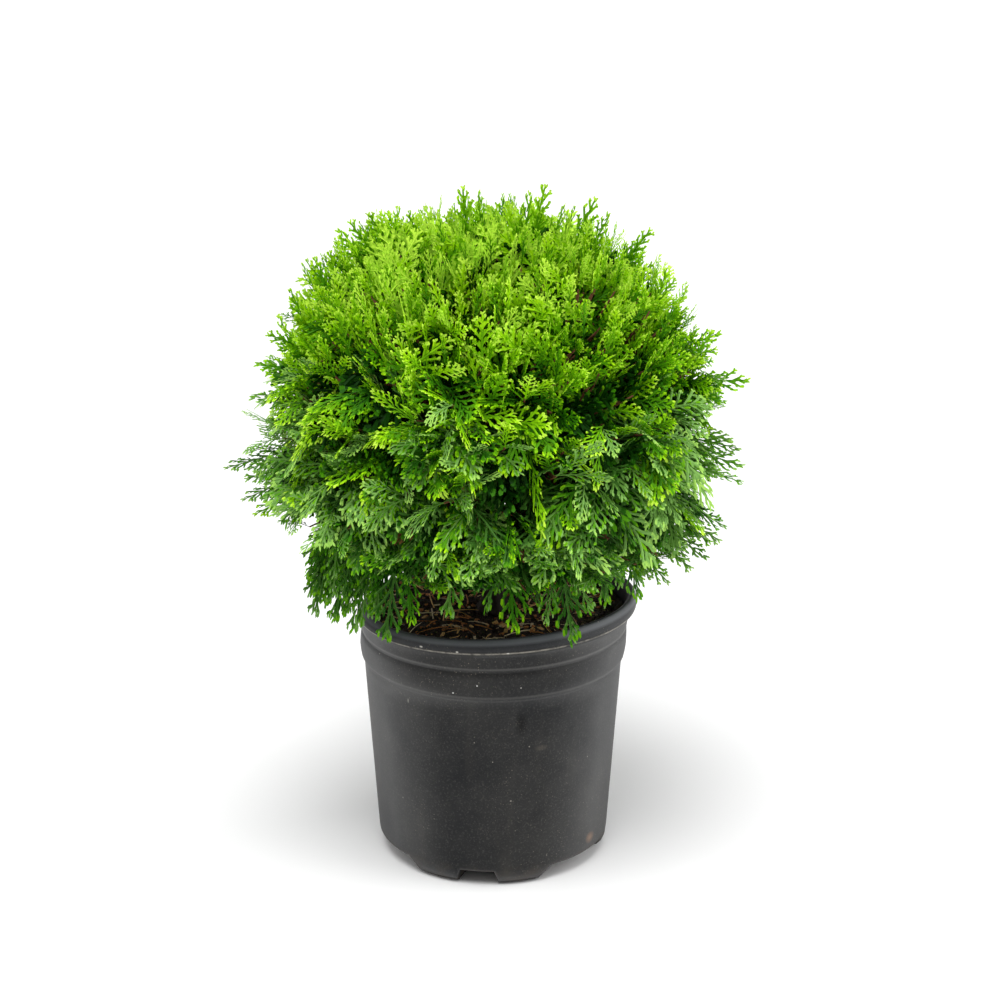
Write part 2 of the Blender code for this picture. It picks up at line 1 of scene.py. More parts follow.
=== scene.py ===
"""Potted globe arborvitae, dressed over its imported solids.

Foliage is built as flat sprays of branchlets that grow from the same crown rule as
the solids: boughs lead to branches, branches to twigs, and each twig carries a fan
of sprays whose tips reach the crown's outline. Lengths are in metres, +Z is up, and
the side that the photograph shows faces -Y.
"""

import math

import bpy
import numpy as np
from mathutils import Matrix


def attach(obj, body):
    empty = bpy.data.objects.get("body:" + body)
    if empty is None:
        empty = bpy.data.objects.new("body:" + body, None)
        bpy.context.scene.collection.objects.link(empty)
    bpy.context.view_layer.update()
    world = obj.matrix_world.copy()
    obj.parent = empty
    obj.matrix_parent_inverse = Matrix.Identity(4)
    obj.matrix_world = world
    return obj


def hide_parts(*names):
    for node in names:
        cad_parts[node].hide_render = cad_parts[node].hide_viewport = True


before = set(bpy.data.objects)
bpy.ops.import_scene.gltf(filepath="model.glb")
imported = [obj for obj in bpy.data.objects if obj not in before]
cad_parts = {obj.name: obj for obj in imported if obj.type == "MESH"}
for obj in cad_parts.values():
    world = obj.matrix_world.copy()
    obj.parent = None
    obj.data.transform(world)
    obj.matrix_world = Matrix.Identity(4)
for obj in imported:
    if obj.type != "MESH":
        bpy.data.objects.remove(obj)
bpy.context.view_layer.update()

# Pot: outer and inner profiles as radius and height, with the same foot and lip as the solid.
CORNER_ROWS = ((0.0050, 0.0017), (0.0091, 0.0058), (0.0122, 0.0125))
FOOT_RADIUS = 0.1005
WALL_FOOT = (0.1137, 0.0200)
WALL_TOP = (0.1264, 0.1995)
BAND_PROFILE = (
    (0.1276, 0.2012), (0.1290, 0.2045), (0.1300, 0.2095), (0.1306, 0.2150), (0.1304, 0.2235),
    (0.1300, 0.2275), (0.1289, 0.2286), (0.1288, 0.2296), (0.1297, 0.2310), (0.1300, 0.2350),
    (0.1302, 0.2390), (0.1308, 0.2430), (0.1322, 0.2464), (0.1346, 0.2472), (0.1356, 0.2479),
    (0.1360, 0.2495), (0.1357, 0.2518), (0.1346, 0.2545), (0.1330, 0.2566), (0.1310, 0.2580),
    (0.1292, 0.2584), (0.1278, 0.2581), (0.1264, 0.2571), (0.1255, 0.2555),
)
INNER_PROFILE = (
    (0.1254, 0.2520), (0.1256, 0.2480), (0.1262, 0.2440), (0.1270, 0.2400), (0.1270, 0.2080),
    (0.1240, 0.1990), (0.1111, 0.0220),
)
FLOOR_FLAT_RADIUS = 0.0800
INNER_CORNER_RADIUS = 0.1030
FLOOR_THICKNESS = 0.0040
NOTCH_HEIGHT = 0.0160
NOTCH_LEAN = 0.0105
NOTCH_GROUPS = 3
NOTCH_CENTRE = math.radians(-98.0)
NOTCH_STATIONS = (-60, -50, -39, -33, -22, -11, -8.5, 0, 8.5, 11, 22, 33, 39, 50)
NARROW_NOTCH_HALF = 8.5
WIDE_NOTCH_FROM = 39.0
POT_STEPS_PER_STATION = 6
RIM_LIFT = 0.0075
RIM_LIFT_TOWARDS = math.radians(-45.0)
RIM_SHIFT = 0.0045
RIM_WARP_FROM = 0.1900
RIM_WARP_SPAN = 0.0600
RIM_WARP_MOST = 1.2
LIP_TOP = 0.2582
LIP_CLEAR_RADIUS = 0.1390

# Soil, its crumbs and litter.
SOIL_EDGE = 0.2440
SOIL_MOUND = 0.0025
SOIL_MOUND_RADIUS = 0.1200
SOIL_EDGE_RADIUS = 0.1256
SOIL_GAP = 0.0004

# Trunk and boughs, by the source's values.
GAP = 0.0003
TRUNK_SECTIONS = (
    (0.0000, 0.0170), (0.0060, 0.0130), (0.0180, 0.0105), (0.0500, 0.0092), (0.1000, 0.0076),
    (0.1600, 0.0060), (0.2150, 0.0045), (0.2550, 0.0034),
)
TRUNK_LEAN = (0.022, 0.014)
FLARE_LOBES = 5
FLARE_DEPTH = 0.16
FLARE_HEIGHT = 0.018
BOUGH_FOOT = {"upper": 0.345, "lower": 0.284}
BOUGH_TIP = {"upper": 0.455, "lower": 0.338}
BOUGH_RADIUS = {"upper": 0.0036, "lower": 0.0044}
RING_CLEAR = {"upper": 0.036, "lower": 0.046}
BOUGH_STAGGER = 0.012
BOUGH_SAG = (0.006, -0.004)
BOUGH_TIP_SHARE = 0.62

# Crown: a superellipsoid about its centre that droops further on the left.
CROWN_CENTRE = 0.4200
CROWN_RADIUS = 0.2380
CROWN_ABOVE = 0.2330
CROWN_BELOW = 0.2320
CROWN_DROOP = 0.0200
CROWN_DROOP_TOWARDS = math.radians(180.0)
UPPER_POWER = 2.4
LOWER_POWER = 2.0
TOP_SEED = (0.004, 0.0, 0.600)
RINGS = (
    ("upper", 0.135, 0.520, 5, -90.0),
    ("lower", 0.165, 0.370, 7, -116.0),
)
SEED_WAVE = (0.010, 2.3, 1.0)
HUB_LEVEL = 0.50
TOP_HUB_RISE = 0.045

# Finer growth than the solids have: branches, twigs and the sprays on each twig.
BRANCH_COUNT = 72
BRANCH_LEVEL = 0.52
TWIG_COUNT = 640
TWIG_LOWEST = -0.74
TWIG_LEVELS = (0.68, 0.86)
TWIG_SCATTER = 0.035
FAN_TURNS = (0.0, 1.0, -1.0, 1.3, -1.3)
FAN_DEPTHS = (1.0, 0.97, 0.97, 0.84, 0.84)
FAN_SPREAD = math.radians(40.0)
TIP_LEVEL = 0.92
TIP_SCATTER = 0.035
TIP_LEVEL_MOST = 1.0
LUMP_DEPTH = 0.035
SPRAY_LENGTHS = (0.044, 0.076)
INNER_TWIGS = 390
INNER_TURNS = (0.0, 1.0, -1.0)
INNER_LEVELS = (0.36, 0.66)
SPRAY_VARIANTS = 5

# Lowest heights that foliage reaches at radii from the axis, on the left, right and front.
SKIRT_LEFT = ((0.10, 0.150, 0.173, 0.202, 0.231, 0.27), (0.286, 0.302, 0.345, 0.356, 0.358, 0.385))
SKIRT_RIGHT = ((0.10, 0.130, 0.173, 0.216, 0.234, 0.27), (0.296, 0.292, 0.297, 0.322, 0.338, 0.380))
SKIRT_FRONT = ((0.08, 0.10, 0.15, 0.20, 0.24, 0.27), (0.296, 0.299, 0.312, 0.332, 0.350, 0.375))

# Furthest tips of the crown as x, y and z, by the source's values, and sprays that hang lower.
LONG_TIPS = (
    (-0.2560, -0.010, 0.394), (-0.2380, 0.010, 0.376), (-0.2404, -0.010, 0.362), (-0.2294, -0.010, 0.347),
    (-0.2300, 0.000, 0.462), (-0.2233, -0.010, 0.498), (-0.2120, -0.010, 0.527),
    (-0.1900, -0.010, 0.560), (-0.1700, -0.010, 0.590), (0.2422, -0.010, 0.482),
    (0.2370, -0.030, 0.388), (0.2380, -0.020, 0.400), (0.2340, -0.020, 0.416),
    (0.0498, 0.000, 0.669), (0.0350, 0.000, 0.662), (-0.0275, 0.000, 0.667),
    (-0.0116, 0.000, 0.663), (-0.0560, 0.010, 0.628), (0.0680, 0.010, 0.648),
    (0.0960, 0.000, 0.656), (0.1080, 0.000, 0.641), (0.1475, 0.000, 0.626),
    (0.1500, 0.010, 0.590), (-0.0980, 0.000, 0.642), (-0.1160, 0.000, 0.641), (-0.1255, 0.010, 0.631), (-0.1325, -0.010, 0.636),
    (-0.1440, -0.010, 0.628), (-0.1490, -0.010, 0.604), (0.2150, 0.000, 0.526), (0.2100, -0.020, 0.516),
    (0.1820, -0.020, 0.556), (0.2248, -0.010, 0.335), (0.2277, -0.010, 0.423), (0.2120, 0.010, 0.312), (0.2180, -0.020, 0.324),
    (0.2067, -0.010, 0.303), (0.1960, 0.030, 0.306), (0.1914, -0.020, 0.296), (0.1702, -0.020, 0.281),
    (0.1650, 0.010, 0.290), (0.1450, -0.020, 0.284), (0.0200, -0.238, 0.385),
    (-0.0600, 0.240, 0.400), (0.0600, 0.236, 0.440),
)
HANGING_TIPS = (
    (0.0740, -0.133, 0.268), (0.0200, -0.130, 0.277), (-0.1000, -0.118, 0.264),
    (-0.1260, -0.094, 0.268), (-0.1414, -0.060, 0.270), (-0.1623, -0.030, 0.267),
    (-0.1500, -0.068, 0.262), (-0.1700, -0.030, 0.276), (-0.1700, 0.000, 0.282),
    (-0.1640, 0.030, 0.276), (-0.1300, -0.040, 0.276), (-0.1670, -0.062, 0.286),
    (0.1080, -0.100, 0.292), (-0.0400, -0.150, 0.300), (0.0500, 0.140, 0.290),
    (-0.0900, 0.130, 0.284), (0.1340, 0.070, 0.290),
    (-0.1700, -0.060, 0.266), (-0.1316, -0.080, 0.256), (-0.1520, -0.060, 0.261),
    (-0.1710, -0.030, 0.288), (-0.1680, -0.050, 0.276), (0.1400, -0.040, 0.274),
    (0.1450, 0.000, 0.282),
)
# Places on the crown where more twigs close hollows.
FILLING_PLACES = (
    (-0.0440, -0.210, 0.490), (-0.0300, -0.210, 0.510), (-0.0600, -0.200, 0.500),
    (-0.0450, -0.215, 0.465), (-0.0200, -0.215, 0.480), (-0.0520, -0.200, 0.548),
    (-0.1300, -0.165, 0.543), (0.0480, -0.205, 0.533),
    (0.2000, 0.054, 0.380), (0.1950, 0.030, 0.365),
)

UP = np.array((0.0, 0.0, 1.0))


# Arrays and meshes

def unit(vectors):
    """Vectors scaled to length one."""
    return vectors / np.maximum(np.linalg.norm(vectors, axis=-1, keepdims=True), 1e-12)


def outward(azimuths):
    """Level unit vectors at azimuths."""
    azimuths = np.asarray(azimuths, float)
    return np.stack([np.cos(azimuths), np.sin(azimuths), np.zeros_like(azimuths)], axis=-1)


def mix(first, second, share):
    """Straight mix of two values or arrays."""
    return first + (second - first) * share


def piece(name, points, triangles, materials, slots=None, smooth=False, uv=None):
    """Mesh object of triangles, with its materials and, where given, each triangle's slot and a UV map."""
    mesh = bpy.data.meshes.new(name)
    points = np.ascontiguousarray(points, np.float32)
    triangles = np.ascontiguousarray(triangles, np.int32)
    mesh.vertices.add(len(points))
    mesh.vertices.foreach_set("co", points.ravel())
    mesh.loops.add(triangles.size)
    mesh.loops.foreach_set("vertex_index", triangles.ravel())
    mesh.polygons.add(len(triangles))
    mesh.polygons.foreach_set("loop_start", np.arange(0, triangles.size, 3, dtype=np.int32))
    for material in materials:
        mesh.materials.append(material)
    if slots is not None:
        mesh.polygons.foreach_set("material_index", np.ascontiguousarray(slots, np.int32))
    mesh.polygons.foreach_set("use_smooth", np.full(len(triangles), smooth))
    if uv is not None:
        layer = mesh.uv_layers.new(name="UVMap")
        layer.data.foreach_set("uv", np.ascontiguousarray(uv, np.float32)[triangles.ravel()].ravel())
    mesh.update(calc_edges=True)
    item = bpy.data.objects.new(name, mesh)
    bpy.context.scene.collection.objects.link(item)
    return item


def grid_faces(rows, columns):
    """Triangles of a grid of rows by columns whose columns close into a ring."""
    row, column = np.meshgrid(np.arange(rows - 1), np.arange(columns), indexing="ij")
    a = (row * columns + column).ravel()
    b = (row * columns + (column + 1) % columns).ravel()
    first = np.stack([a, b, b + columns], axis=1)
    second = np.stack([a, b + columns, a + columns], axis=1)
    return np.concatenate([first, second])


def cap_faces(start, centre, columns, turned):
    """Triangles of a fan that closes a ring on its centre point."""
    step = np.arange(columns)
    after = (step + 1) % columns
    pair = (start + after, start + step) if turned else (start + step, start + after)
    return np.stack([np.full(columns, centre), *pair], axis=1)


def rods(paths, radii, sides):
    """Tapering tubes along paths, as arrays of points and triangles.

    A tube's point is its path's point plus a spoke of the section's radius, turned in even
    steps about the path's direction. Both ends are closed.
    """
    count, stations, _ = paths.shape
    tangents = unit(np.gradient(paths, axis=1))
    steep = np.abs(tangents[..., 2:3]) > 0.92
    reference = np.where(steep, np.array((1.0, 0.0, 0.0)), UP)
    side = unit(np.cross(tangents, reference))
    other = np.cross(tangents, side)
    turn = 2.0 * np.pi * np.arange(sides) / sides
    spokes = side[:, :, None] * np.cos(turn)[:, None] + other[:, :, None] * np.sin(turn)[:, None]
    points = paths[:, :, None] + spokes * radii[:, :, None, None]
    points = points.reshape(count, stations * sides, 3)
    faces = [grid_faces(stations, sides)]
    middle = np.arange(1, sides - 1)
    last = (stations - 1) * sides
    faces.append(np.stack([np.zeros_like(middle), middle + 1, middle], axis=1))
    faces.append(np.stack([np.full_like(middle, last), last + middle, last + middle + 1], axis=1))
    faces = np.concatenate(faces)
    offsets = np.arange(count)[:, None, None] * (stations * sides)
    return points.reshape(-1, 3), (faces[None] + offsets).reshape(-1, 3)


def bezier(starts, middles, ends, stations):
    """Points along curves: the mix of start to middle with middle to end."""
    share = np.linspace(0.0, 1.0, stations)[None, :, None]
    first = mix(starts[:, None], middles[:, None], share)
    second = mix(middles[:, None], ends[:, None], share)
    return mix(first, second, share)


# Materials

def new_material(name):
    """An empty node material and its Principled shader."""
    material = bpy.data.materials.new(name)
    material.use_nodes = True
    return material, material.node_tree.nodes["Principled BSDF"]


def plain(name, colour, roughness, specular=0.5):
    """Material with plain values, for the pieces whose colours are dealt out by spray."""
    material, shader = new_material(name)
    shader.inputs["Base Color"].default_value = (*colour, 1.0)
    shader.inputs["Roughness"].default_value = roughness
    shader.inputs["Specular IOR Level"].default_value = specular
    material.diffuse_color = (*colour, 1.0)
    return material


def link(tree, source, target):
    """Join two sockets."""
    tree.links.new(source, target)


def node(tree, kind, **values):
    """A node with its properties set."""
    made = tree.nodes.new(kind)
    for key, value in values.items():
        setattr(made, key, value)
    return made


def noise(tree, place, scale, detail=4.0, roughness=0.55):
    """Noise texture read at a place."""
    made = node(tree, "ShaderNodeTexNoise")
    made.inputs["Scale"].default_value = scale
    made.inputs["Detail"].default_value = detail
    made.inputs["Roughness"].default_value = roughness
    link(tree, place, made.inputs["Vector"])
    return made.outputs["Fac"]


def span(tree, value, low, high, start=0.0, end=1.0):
    """Value moved from one range to another and held inside it."""
    made = node(tree, "ShaderNodeMapRange", clamp=True)
    link(tree, value, made.inputs["Value"])
    made.inputs["From Min"].default_value = low
    made.inputs["From Max"].default_value = high
    made.inputs["To Min"].default_value = start
    made.inputs["To Max"].default_value = end
    return made.outputs["Result"]


def sum_of(tree, operation, first, second):
    """Maths on two values; either may be a socket or a number."""
    made = node(tree, "ShaderNodeMath", operation=operation)
    for slot, value in enumerate((first, second)):
        if isinstance(value, (int, float)):
            made.inputs[slot].default_value = value
        else:
            link(tree, value, made.inputs[slot])
    return made.outputs["Value"]


def blend_colours(tree, share, first, second):
    """Mix of two colours by a share; each may be a socket or a colour."""
    made = node(tree, "ShaderNodeMix", data_type="RGBA")
    link(tree, share, made.inputs["Factor"])
    for slot, value in (("A", first), ("B", second)):
        target = [s for s in made.inputs if s.name == slot and s.type == "RGBA"][0]
        if isinstance(value, tuple):
            target.default_value = (*value, 1.0)
        else:
            link(tree, value, target)
    return [s for s in made.outputs if s.type == "RGBA"][0]


def bump(tree, height, strength, distance):
    """Normal from a height."""
    made = node(tree, "ShaderNodeBump")
    made.inputs["Strength"].default_value = strength
    made.inputs["Distance"].default_value = distance
    link(tree, height, made.inputs["Height"])
    return made.outputs["Normal"]


def speckle_group():
    """Group: single specks scattered far apart, as a mask, from the few cells with a high red value."""
    group = bpy.data.node_groups.new("fine_specks", "ShaderNodeTree")
    group.interface.new_socket("Vector", in_out="INPUT", socket_type="NodeSocketVector")
    for name in ("Scale", "Size", "Rarity"):
        group.interface.new_socket(name, in_out="INPUT", socket_type="NodeSocketFloat")
    group.interface.new_socket("Mask", in_out="OUTPUT", socket_type="NodeSocketFloat")
    entry = node(group, "NodeGroupInput")
    leave = node(group, "NodeGroupOutput")
    cells = node(group, "ShaderNodeTexVoronoi", feature="F1")
    link(group, entry.outputs["Vector"], cells.inputs["Vector"])
    link(group, entry.outputs["Scale"], cells.inputs["Scale"])
    parts = node(group, "ShaderNodeSeparateColor")
    link(group, cells.outputs["Color"], parts.inputs["Color"])
    chosen = sum_of(group, "GREATER_THAN", parts.outputs["Red"], entry.outputs["Rarity"])
    near = sum_of(group, "MULTIPLY", entry.outputs["Size"], parts.outputs["Green"])
    mask = sum_of(group, "MULTIPLY", sum_of(group, "LESS_THAN", cells.outputs["Distance"], near), chosen)
    link(group, mask, leave.inputs["Mask"])
    return group


def place_group(tree, group, **values):
    """A group node with its inputs set from sockets or numbers."""
    made = node(tree, "ShaderNodeGroup", node_tree=group)
    for key, value in values.items():
        if isinstance(value, (int, float)):
            made.inputs[key].default_value = value
        else:
            link(tree, value, made.inputs[key])
    return made


def place_coordinates(tree):
    """Object coordinates."""
    return node(tree, "ShaderNodeTexCoord").outputs["Object"]


def stretched(tree, place, scale):
    """Coordinates scaled unevenly."""
    made = node(tree, "ShaderNodeMapping")
    made.inputs["Scale"].default_value = scale
    link(tree, place, made.inputs["Vector"])
    return made.outputs["Vector"]


def profile_line(tree, along, base, places, strength, colour):
    """Colour laid over a base in a soft line between places along the pot's profile."""
    rise = span(tree, along, places[0], places[1])
    fall = span(tree, along, places[3], places[2])
    share = sum_of(tree, "MULTIPLY", sum_of(tree, "MULTIPLY", rise, fall), strength)
    return blend_colours(tree, share, base, colour)


def spot(tree, place, centre, radii, soft):
    """Mask of an ellipsoid at a centre: 1 inside and falling to 0 over its soft outer share."""
    moved = node(tree, "ShaderNodeVectorMath", operation="SUBTRACT")
    link(tree, place, moved.inputs[0])
    moved.inputs[1].default_value = centre
    scaled = node(tree, "ShaderNodeVectorMath", operation="DIVIDE")
    link(tree, moved.outputs["Vector"], scaled.inputs[0])
    scaled.inputs[1].default_value = radii
    length = node(tree, "ShaderNodeVectorMath", operation="LENGTH")
    link(tree, scaled.outputs["Vector"], length.inputs[0])
    return span(tree, length.outputs["Value"], 1.0, 1.0 - soft)


# Marks on the pot: place, radii, soft share, strength and colour, in metres.
POT_MARKS = (
    ((-0.0373, -0.1280, 0.2093), (0.0012, 0.008, 0.0010), 0.5, 1.0, (0.72, 0.72, 0.70)),
    ((-0.0146, -0.1300, 0.2186), (0.0009, 0.008, 0.0008), 0.5, 1.0, (0.62, 0.62, 0.60)),
    ((0.0268, -0.1280, 0.2158), (0.0009, 0.008, 0.0009), 0.6, 0.8, (0.42, 0.41, 0.38)),
    ((-0.0807, -0.1010, 0.1895), (0.0009, 0.010, 0.0032), 0.7, 0.8, (0.30, 0.29, 0.25)),
    ((-0.0673, -0.1160, 0.2526), (0.0018, 0.010, 0.0010), 0.6, 0.9, (0.60, 0.58, 0.52)),
    ((-0.0332, -0.1300, 0.2533), (0.0016, 0.010, 0.0009), 0.6, 0.9, (0.60, 0.58, 0.52)),
    ((0.0145, -0.1330, 0.2537), (0.0018, 0.010, 0.0009), 0.6, 0.9, (0.60, 0.58, 0.52)),
    ((0.0470, -0.1170, 0.1480), (0.0080, 0.012, 0.0040), 0.9, 0.4, (0.100, 0.085, 0.065)),
    ((0.0950, -0.0620, 0.0300), (0.0050, 0.020, 0.0070), 0.8, 0.7, (0.200, 0.110, 0.060)),
)


def pot_material(specks):
    """Matt black moulded plastic: a worn grey line at the lip, a painted sheen and painted highlight on the lip's
    roll, painted shade and highlights along the grooves, dusty, with soft drips and soil at the foot.
    """
    material, shader = new_material("pot_black_plastic_worn_painted_sheen")
    tree = material.node_tree
    place = place_coordinates(tree)
    uv = node(tree, "ShaderNodeUVMap", uv_map="UVMap").outputs["UV"]
    apart = node(tree, "ShaderNodeSeparateXYZ")
    link(tree, uv, apart.inputs["Vector"])
    along = apart.outputs["Y"]
    cloud = noise(tree, place, 9.0, 5.0, 0.62)
    base = blend_colours(tree, span(tree, cloud, 0.35, 0.68), (0.0050, 0.0056, 0.0068), (0.0135, 0.0130, 0.0120))
    grain = noise(tree, place, 520.0, 4.0, 0.7)
    base = blend_colours(tree, span(tree, grain, 0.52, 0.74, 0.0, 0.55), base, (0.070, 0.067, 0.062))
    drips = noise(tree, stretched(tree, place, (1.0, 1.0, 0.16)), 34.0, 3.0)
    base = blend_colours(tree, span(tree, drips, 0.58, 0.76, 0.0, 0.30), base, (0.040, 0.036, 0.030))
    scuffs = noise(tree, stretched(tree, place, (1.0, 1.0, 6.0)), 60.0, 6.0, 0.7)
    base = blend_colours(tree, span(tree, scuffs, 0.62, 0.80, 0.0, 0.40), base, (0.075, 0.074, 0.072))
    grime = noise(tree, place, 46.0, 5.0, 0.65)
    low = sum_of(tree, "MULTIPLY", span(tree, along, 0.16, 0.05), span(tree, grime, 0.42, 0.62))
    base = blend_colours(tree, sum_of(tree, "MULTIPLY", low, 0.55), base, (0.120, 0.082, 0.050))
    # Painted sheen: a lighter blue-grey laid over the lip's roll.
    base = profile_line(tree, along, base, (0.957, 0.962, 1.05, 1.06), 0.5, (0.030, 0.032, 0.036))
    # Painted highlight: a pale blue-grey band along the top of the lip.
    base = profile_line(tree, along, base, (0.972, 0.980, 0.990, 0.999), 0.8, (0.105, 0.112, 0.120))
    # Painted shade: a thin dark line in the upper groove.
    base = profile_line(tree, along, base, (0.868, 0.873, 0.880, 0.884), 0.4, (0.004, 0.004, 0.004))
    # Painted highlight: a thin light line on the upper groove's top edge.
    base = profile_line(tree, along, base, (0.886, 0.889, 0.892, 0.895), 0.5, (0.090, 0.088, 0.084))
    # Painted highlight: a thin light line near the lower groove.
    base = profile_line(tree, along, base, (0.786, 0.790, 0.794, 0.798), 0.4, (0.080, 0.078, 0.074))
    rub = noise(tree, place, 80.0, 4.0, 0.7)
    worn = profile_line(tree, along, (0.0, 0.0, 0.0), (0.948, 0.9505, 0.9545, 0.957), 1.0, (1.0, 1.0, 1.0))
    worn = sum_of(tree, "MULTIPLY", worn, span(tree, rub, 0.36, 0.56, 0.15, 1.0))
    base = blend_colours(tree, sum_of(tree, "MULTIPLY", worn, 0.9), base, (0.240, 0.225, 0.190))
    dots = place_group(tree, specks, Vector=place, Scale=230.0, Size=0.20, Rarity=0.975).outputs["Mask"]
    base = blend_colours(tree, sum_of(tree, "MULTIPLY", dots, 0.6), base, (0.30, 0.28, 0.24))
    dust = place_group(tree, specks, Vector=place, Scale=760.0, Size=0.42, Rarity=0.86).outputs["Mask"]
    dusty = sum_of(tree, "MULTIPLY", dust, span(tree, cloud, 0.46, 0.62, 0.0, 0.50))
    base = blend_colours(tree, dusty, base, (0.22, 0.19, 0.15))
    for centre, radii, soft, strength, colour in POT_MARKS:
        mark = sum_of(tree, "MULTIPLY", spot(tree, place, centre, radii, soft), strength)
        base = blend_colours(tree, mark, base, colour)
    link(tree, base, shader.inputs["Base Color"])
    gloss = span(tree, cloud, 0.34, 0.66, 0.19, 0.33)
    drip = spot(tree, place, (0.0275, -0.1260, 0.1760), (0.0075, 0.016, 0.0160), 0.7)
    gloss = sum_of(tree, "MULTIPLY", gloss, span(tree, drip, 0.0, 1.0, 1.0, 0.35))
    turned = node(tree, "ShaderNodeLayerWeight").outputs["Facing"]
    lift = sum_of(tree, "MULTIPLY", span(tree, turned, 0.20, 0.58, 0.0, 2.2), span(tree, along, 0.945, 0.930))
    lift = sum_of(tree, "MULTIPLY", lift, span(tree, turned, 0.55, 0.85, 1.0, 0.1))
    gloss = sum_of(tree, "MULTIPLY", gloss, sum_of(tree, "ADD", lift, 1.0))
    link(tree, gloss, shader.inputs["Specular IOR Level"])
    rough = span(tree, cloud, 0.30, 0.75, 0.44, 0.54)
    link(tree, sum_of(tree, "ADD", rough, sum_of(tree, "MULTIPLY", low, 0.25)), shader.inputs["Roughness"])
    wave = noise(tree, stretched(tree, place, (1.0, 1.0, 0.5)), 26.0, 2.0)
    height = sum_of(tree, "ADD", sum_of(tree, "MULTIPLY", grain, 0.10), wave)
    link(tree, bump(tree, height, 0.30, 0.0012), shader.inputs["Normal"])
    return material


def soil_material(specks):
    """Damp dark potting soil: near-black crumbs with rust-brown fibres and pale grains."""
    material, shader = new_material("soil_dark_crumbs")
    tree = material.node_tree
    place = place_coordinates(tree)
    crumbs = noise(tree, place, 190.0, 6.0, 0.7)
    patches = noise(tree, place, 42.0, 4.0, 0.6)
    base = blend_colours(tree, span(tree, crumbs, 0.38, 0.66), (0.010, 0.006, 0.004), (0.050, 0.027, 0.014))
    base = blend_colours(tree, span(tree, patches, 0.55, 0.75, 0.0, 0.55), base, (0.130, 0.062, 0.026))
    dots = place_group(tree, specks, Vector=place, Scale=300.0, Size=0.60, Rarity=0.80).outputs["Mask"]
    base = blend_colours(tree, sum_of(tree, "MULTIPLY", dots, 0.7), base, (0.33, 0.24, 0.13))
    link(tree, base, shader.inputs["Base Color"])
    link(tree, span(tree, crumbs, 0.3, 0.8, 0.72, 0.98), shader.inputs["Roughness"])
    link(tree, bump(tree, crumbs, 0.9, 0.0020), shader.inputs["Normal"])
    return material


def bark_material():
    """Stringy reddish-brown bark: long fibres with pale edges over dark furrows, and painted shade low down under
    the crown.
    """
    material, shader = new_material("bark_fibrous")
    tree = material.node_tree
    place = place_coordinates(tree)
    fibres = noise(tree, stretched(tree, place, (1.0, 1.0, 0.10)), 620.0, 5.0, 0.65)
    tone = noise(tree, place, 60.0, 3.0)
    base = blend_colours(tree, span(tree, fibres, 0.34, 0.68), (0.030, 0.014, 0.008), (0.150, 0.074, 0.036))
    base = blend_colours(tree, span(tree, tone, 0.48, 0.74, 0.0, 0.6), base, (0.105, 0.070, 0.046))
    # Painted shade: the bark darkens below the crown's skirt, towards the soil.
    apart = node(tree, "ShaderNodeSeparateXYZ")
    link(tree, place, apart.inputs["Vector"])
    base = blend_colours(tree, span(tree, apart.outputs["Z"], 0.300, 0.262), base, (0.020, 0.012, 0.008))
    link(tree, base, shader.inputs["Base Color"])
    shader.inputs["Roughness"].default_value = 0.88
    link(tree, bump(tree, fibres, 0.8, 0.0010), shader.inputs["Normal"])
    return material


def floor_material():
    """Plain pale studio floor."""
    return plain("studio_floor", (0.90, 0.90, 0.90), 0.9, 0.2)


# Pot

def station_azimuths():
    """Azimuths and foot heights of the solid's stations, in order round the pot."""
    azimuths, heights = [], []
    for group in range(NOTCH_GROUPS):
        for station in NOTCH_STATIONS:
            azimuths.append(NOTCH_CENTRE + group * 2.0 * math.pi / NOTCH_GROUPS + math.radians(station))
            raised = abs(station) <= NARROW_NOTCH_HALF or abs(station) >= WIDE_NOTCH_FROM
            heights.append(NOTCH_HEIGHT if raised else 0.0)
    return np.array(azimuths), np.array(heights)


def fine_stations():
    """Azimuths between the solid's stations, with the foot's height mixed straight between them."""
    azimuths, heights = station_azimuths()
    azimuths = np.append(azimuths, azimuths[0] + 2.0 * math.pi)
    heights = np.append(heights, heights[0])
    steps = np.arange((len(azimuths) - 1) * POT_STEPS_PER_STATION) / POT_STEPS_PER_STATION
    stations = np.arange(len(azimuths))
    return np.interp(steps, stations, azimuths), np.interp(steps, stations, heights)


def warped_ring(radii, heights, azimuths):
    """Ring at radii and heights, lifted and shifted where the soft lip is, by the share cubed."""
    share = np.clip((heights - RIM_WARP_FROM) / RIM_WARP_SPAN, 0.0, RIM_WARP_MOST) ** 3
    x = radii * np.cos(azimuths) + RIM_SHIFT * share
    y = radii * np.sin(azimuths)
    z = heights + RIM_LIFT * share * np.cos(azimuths - RIM_LIFT_TOWARDS)
    return np.stack([x, y, z], axis=1)


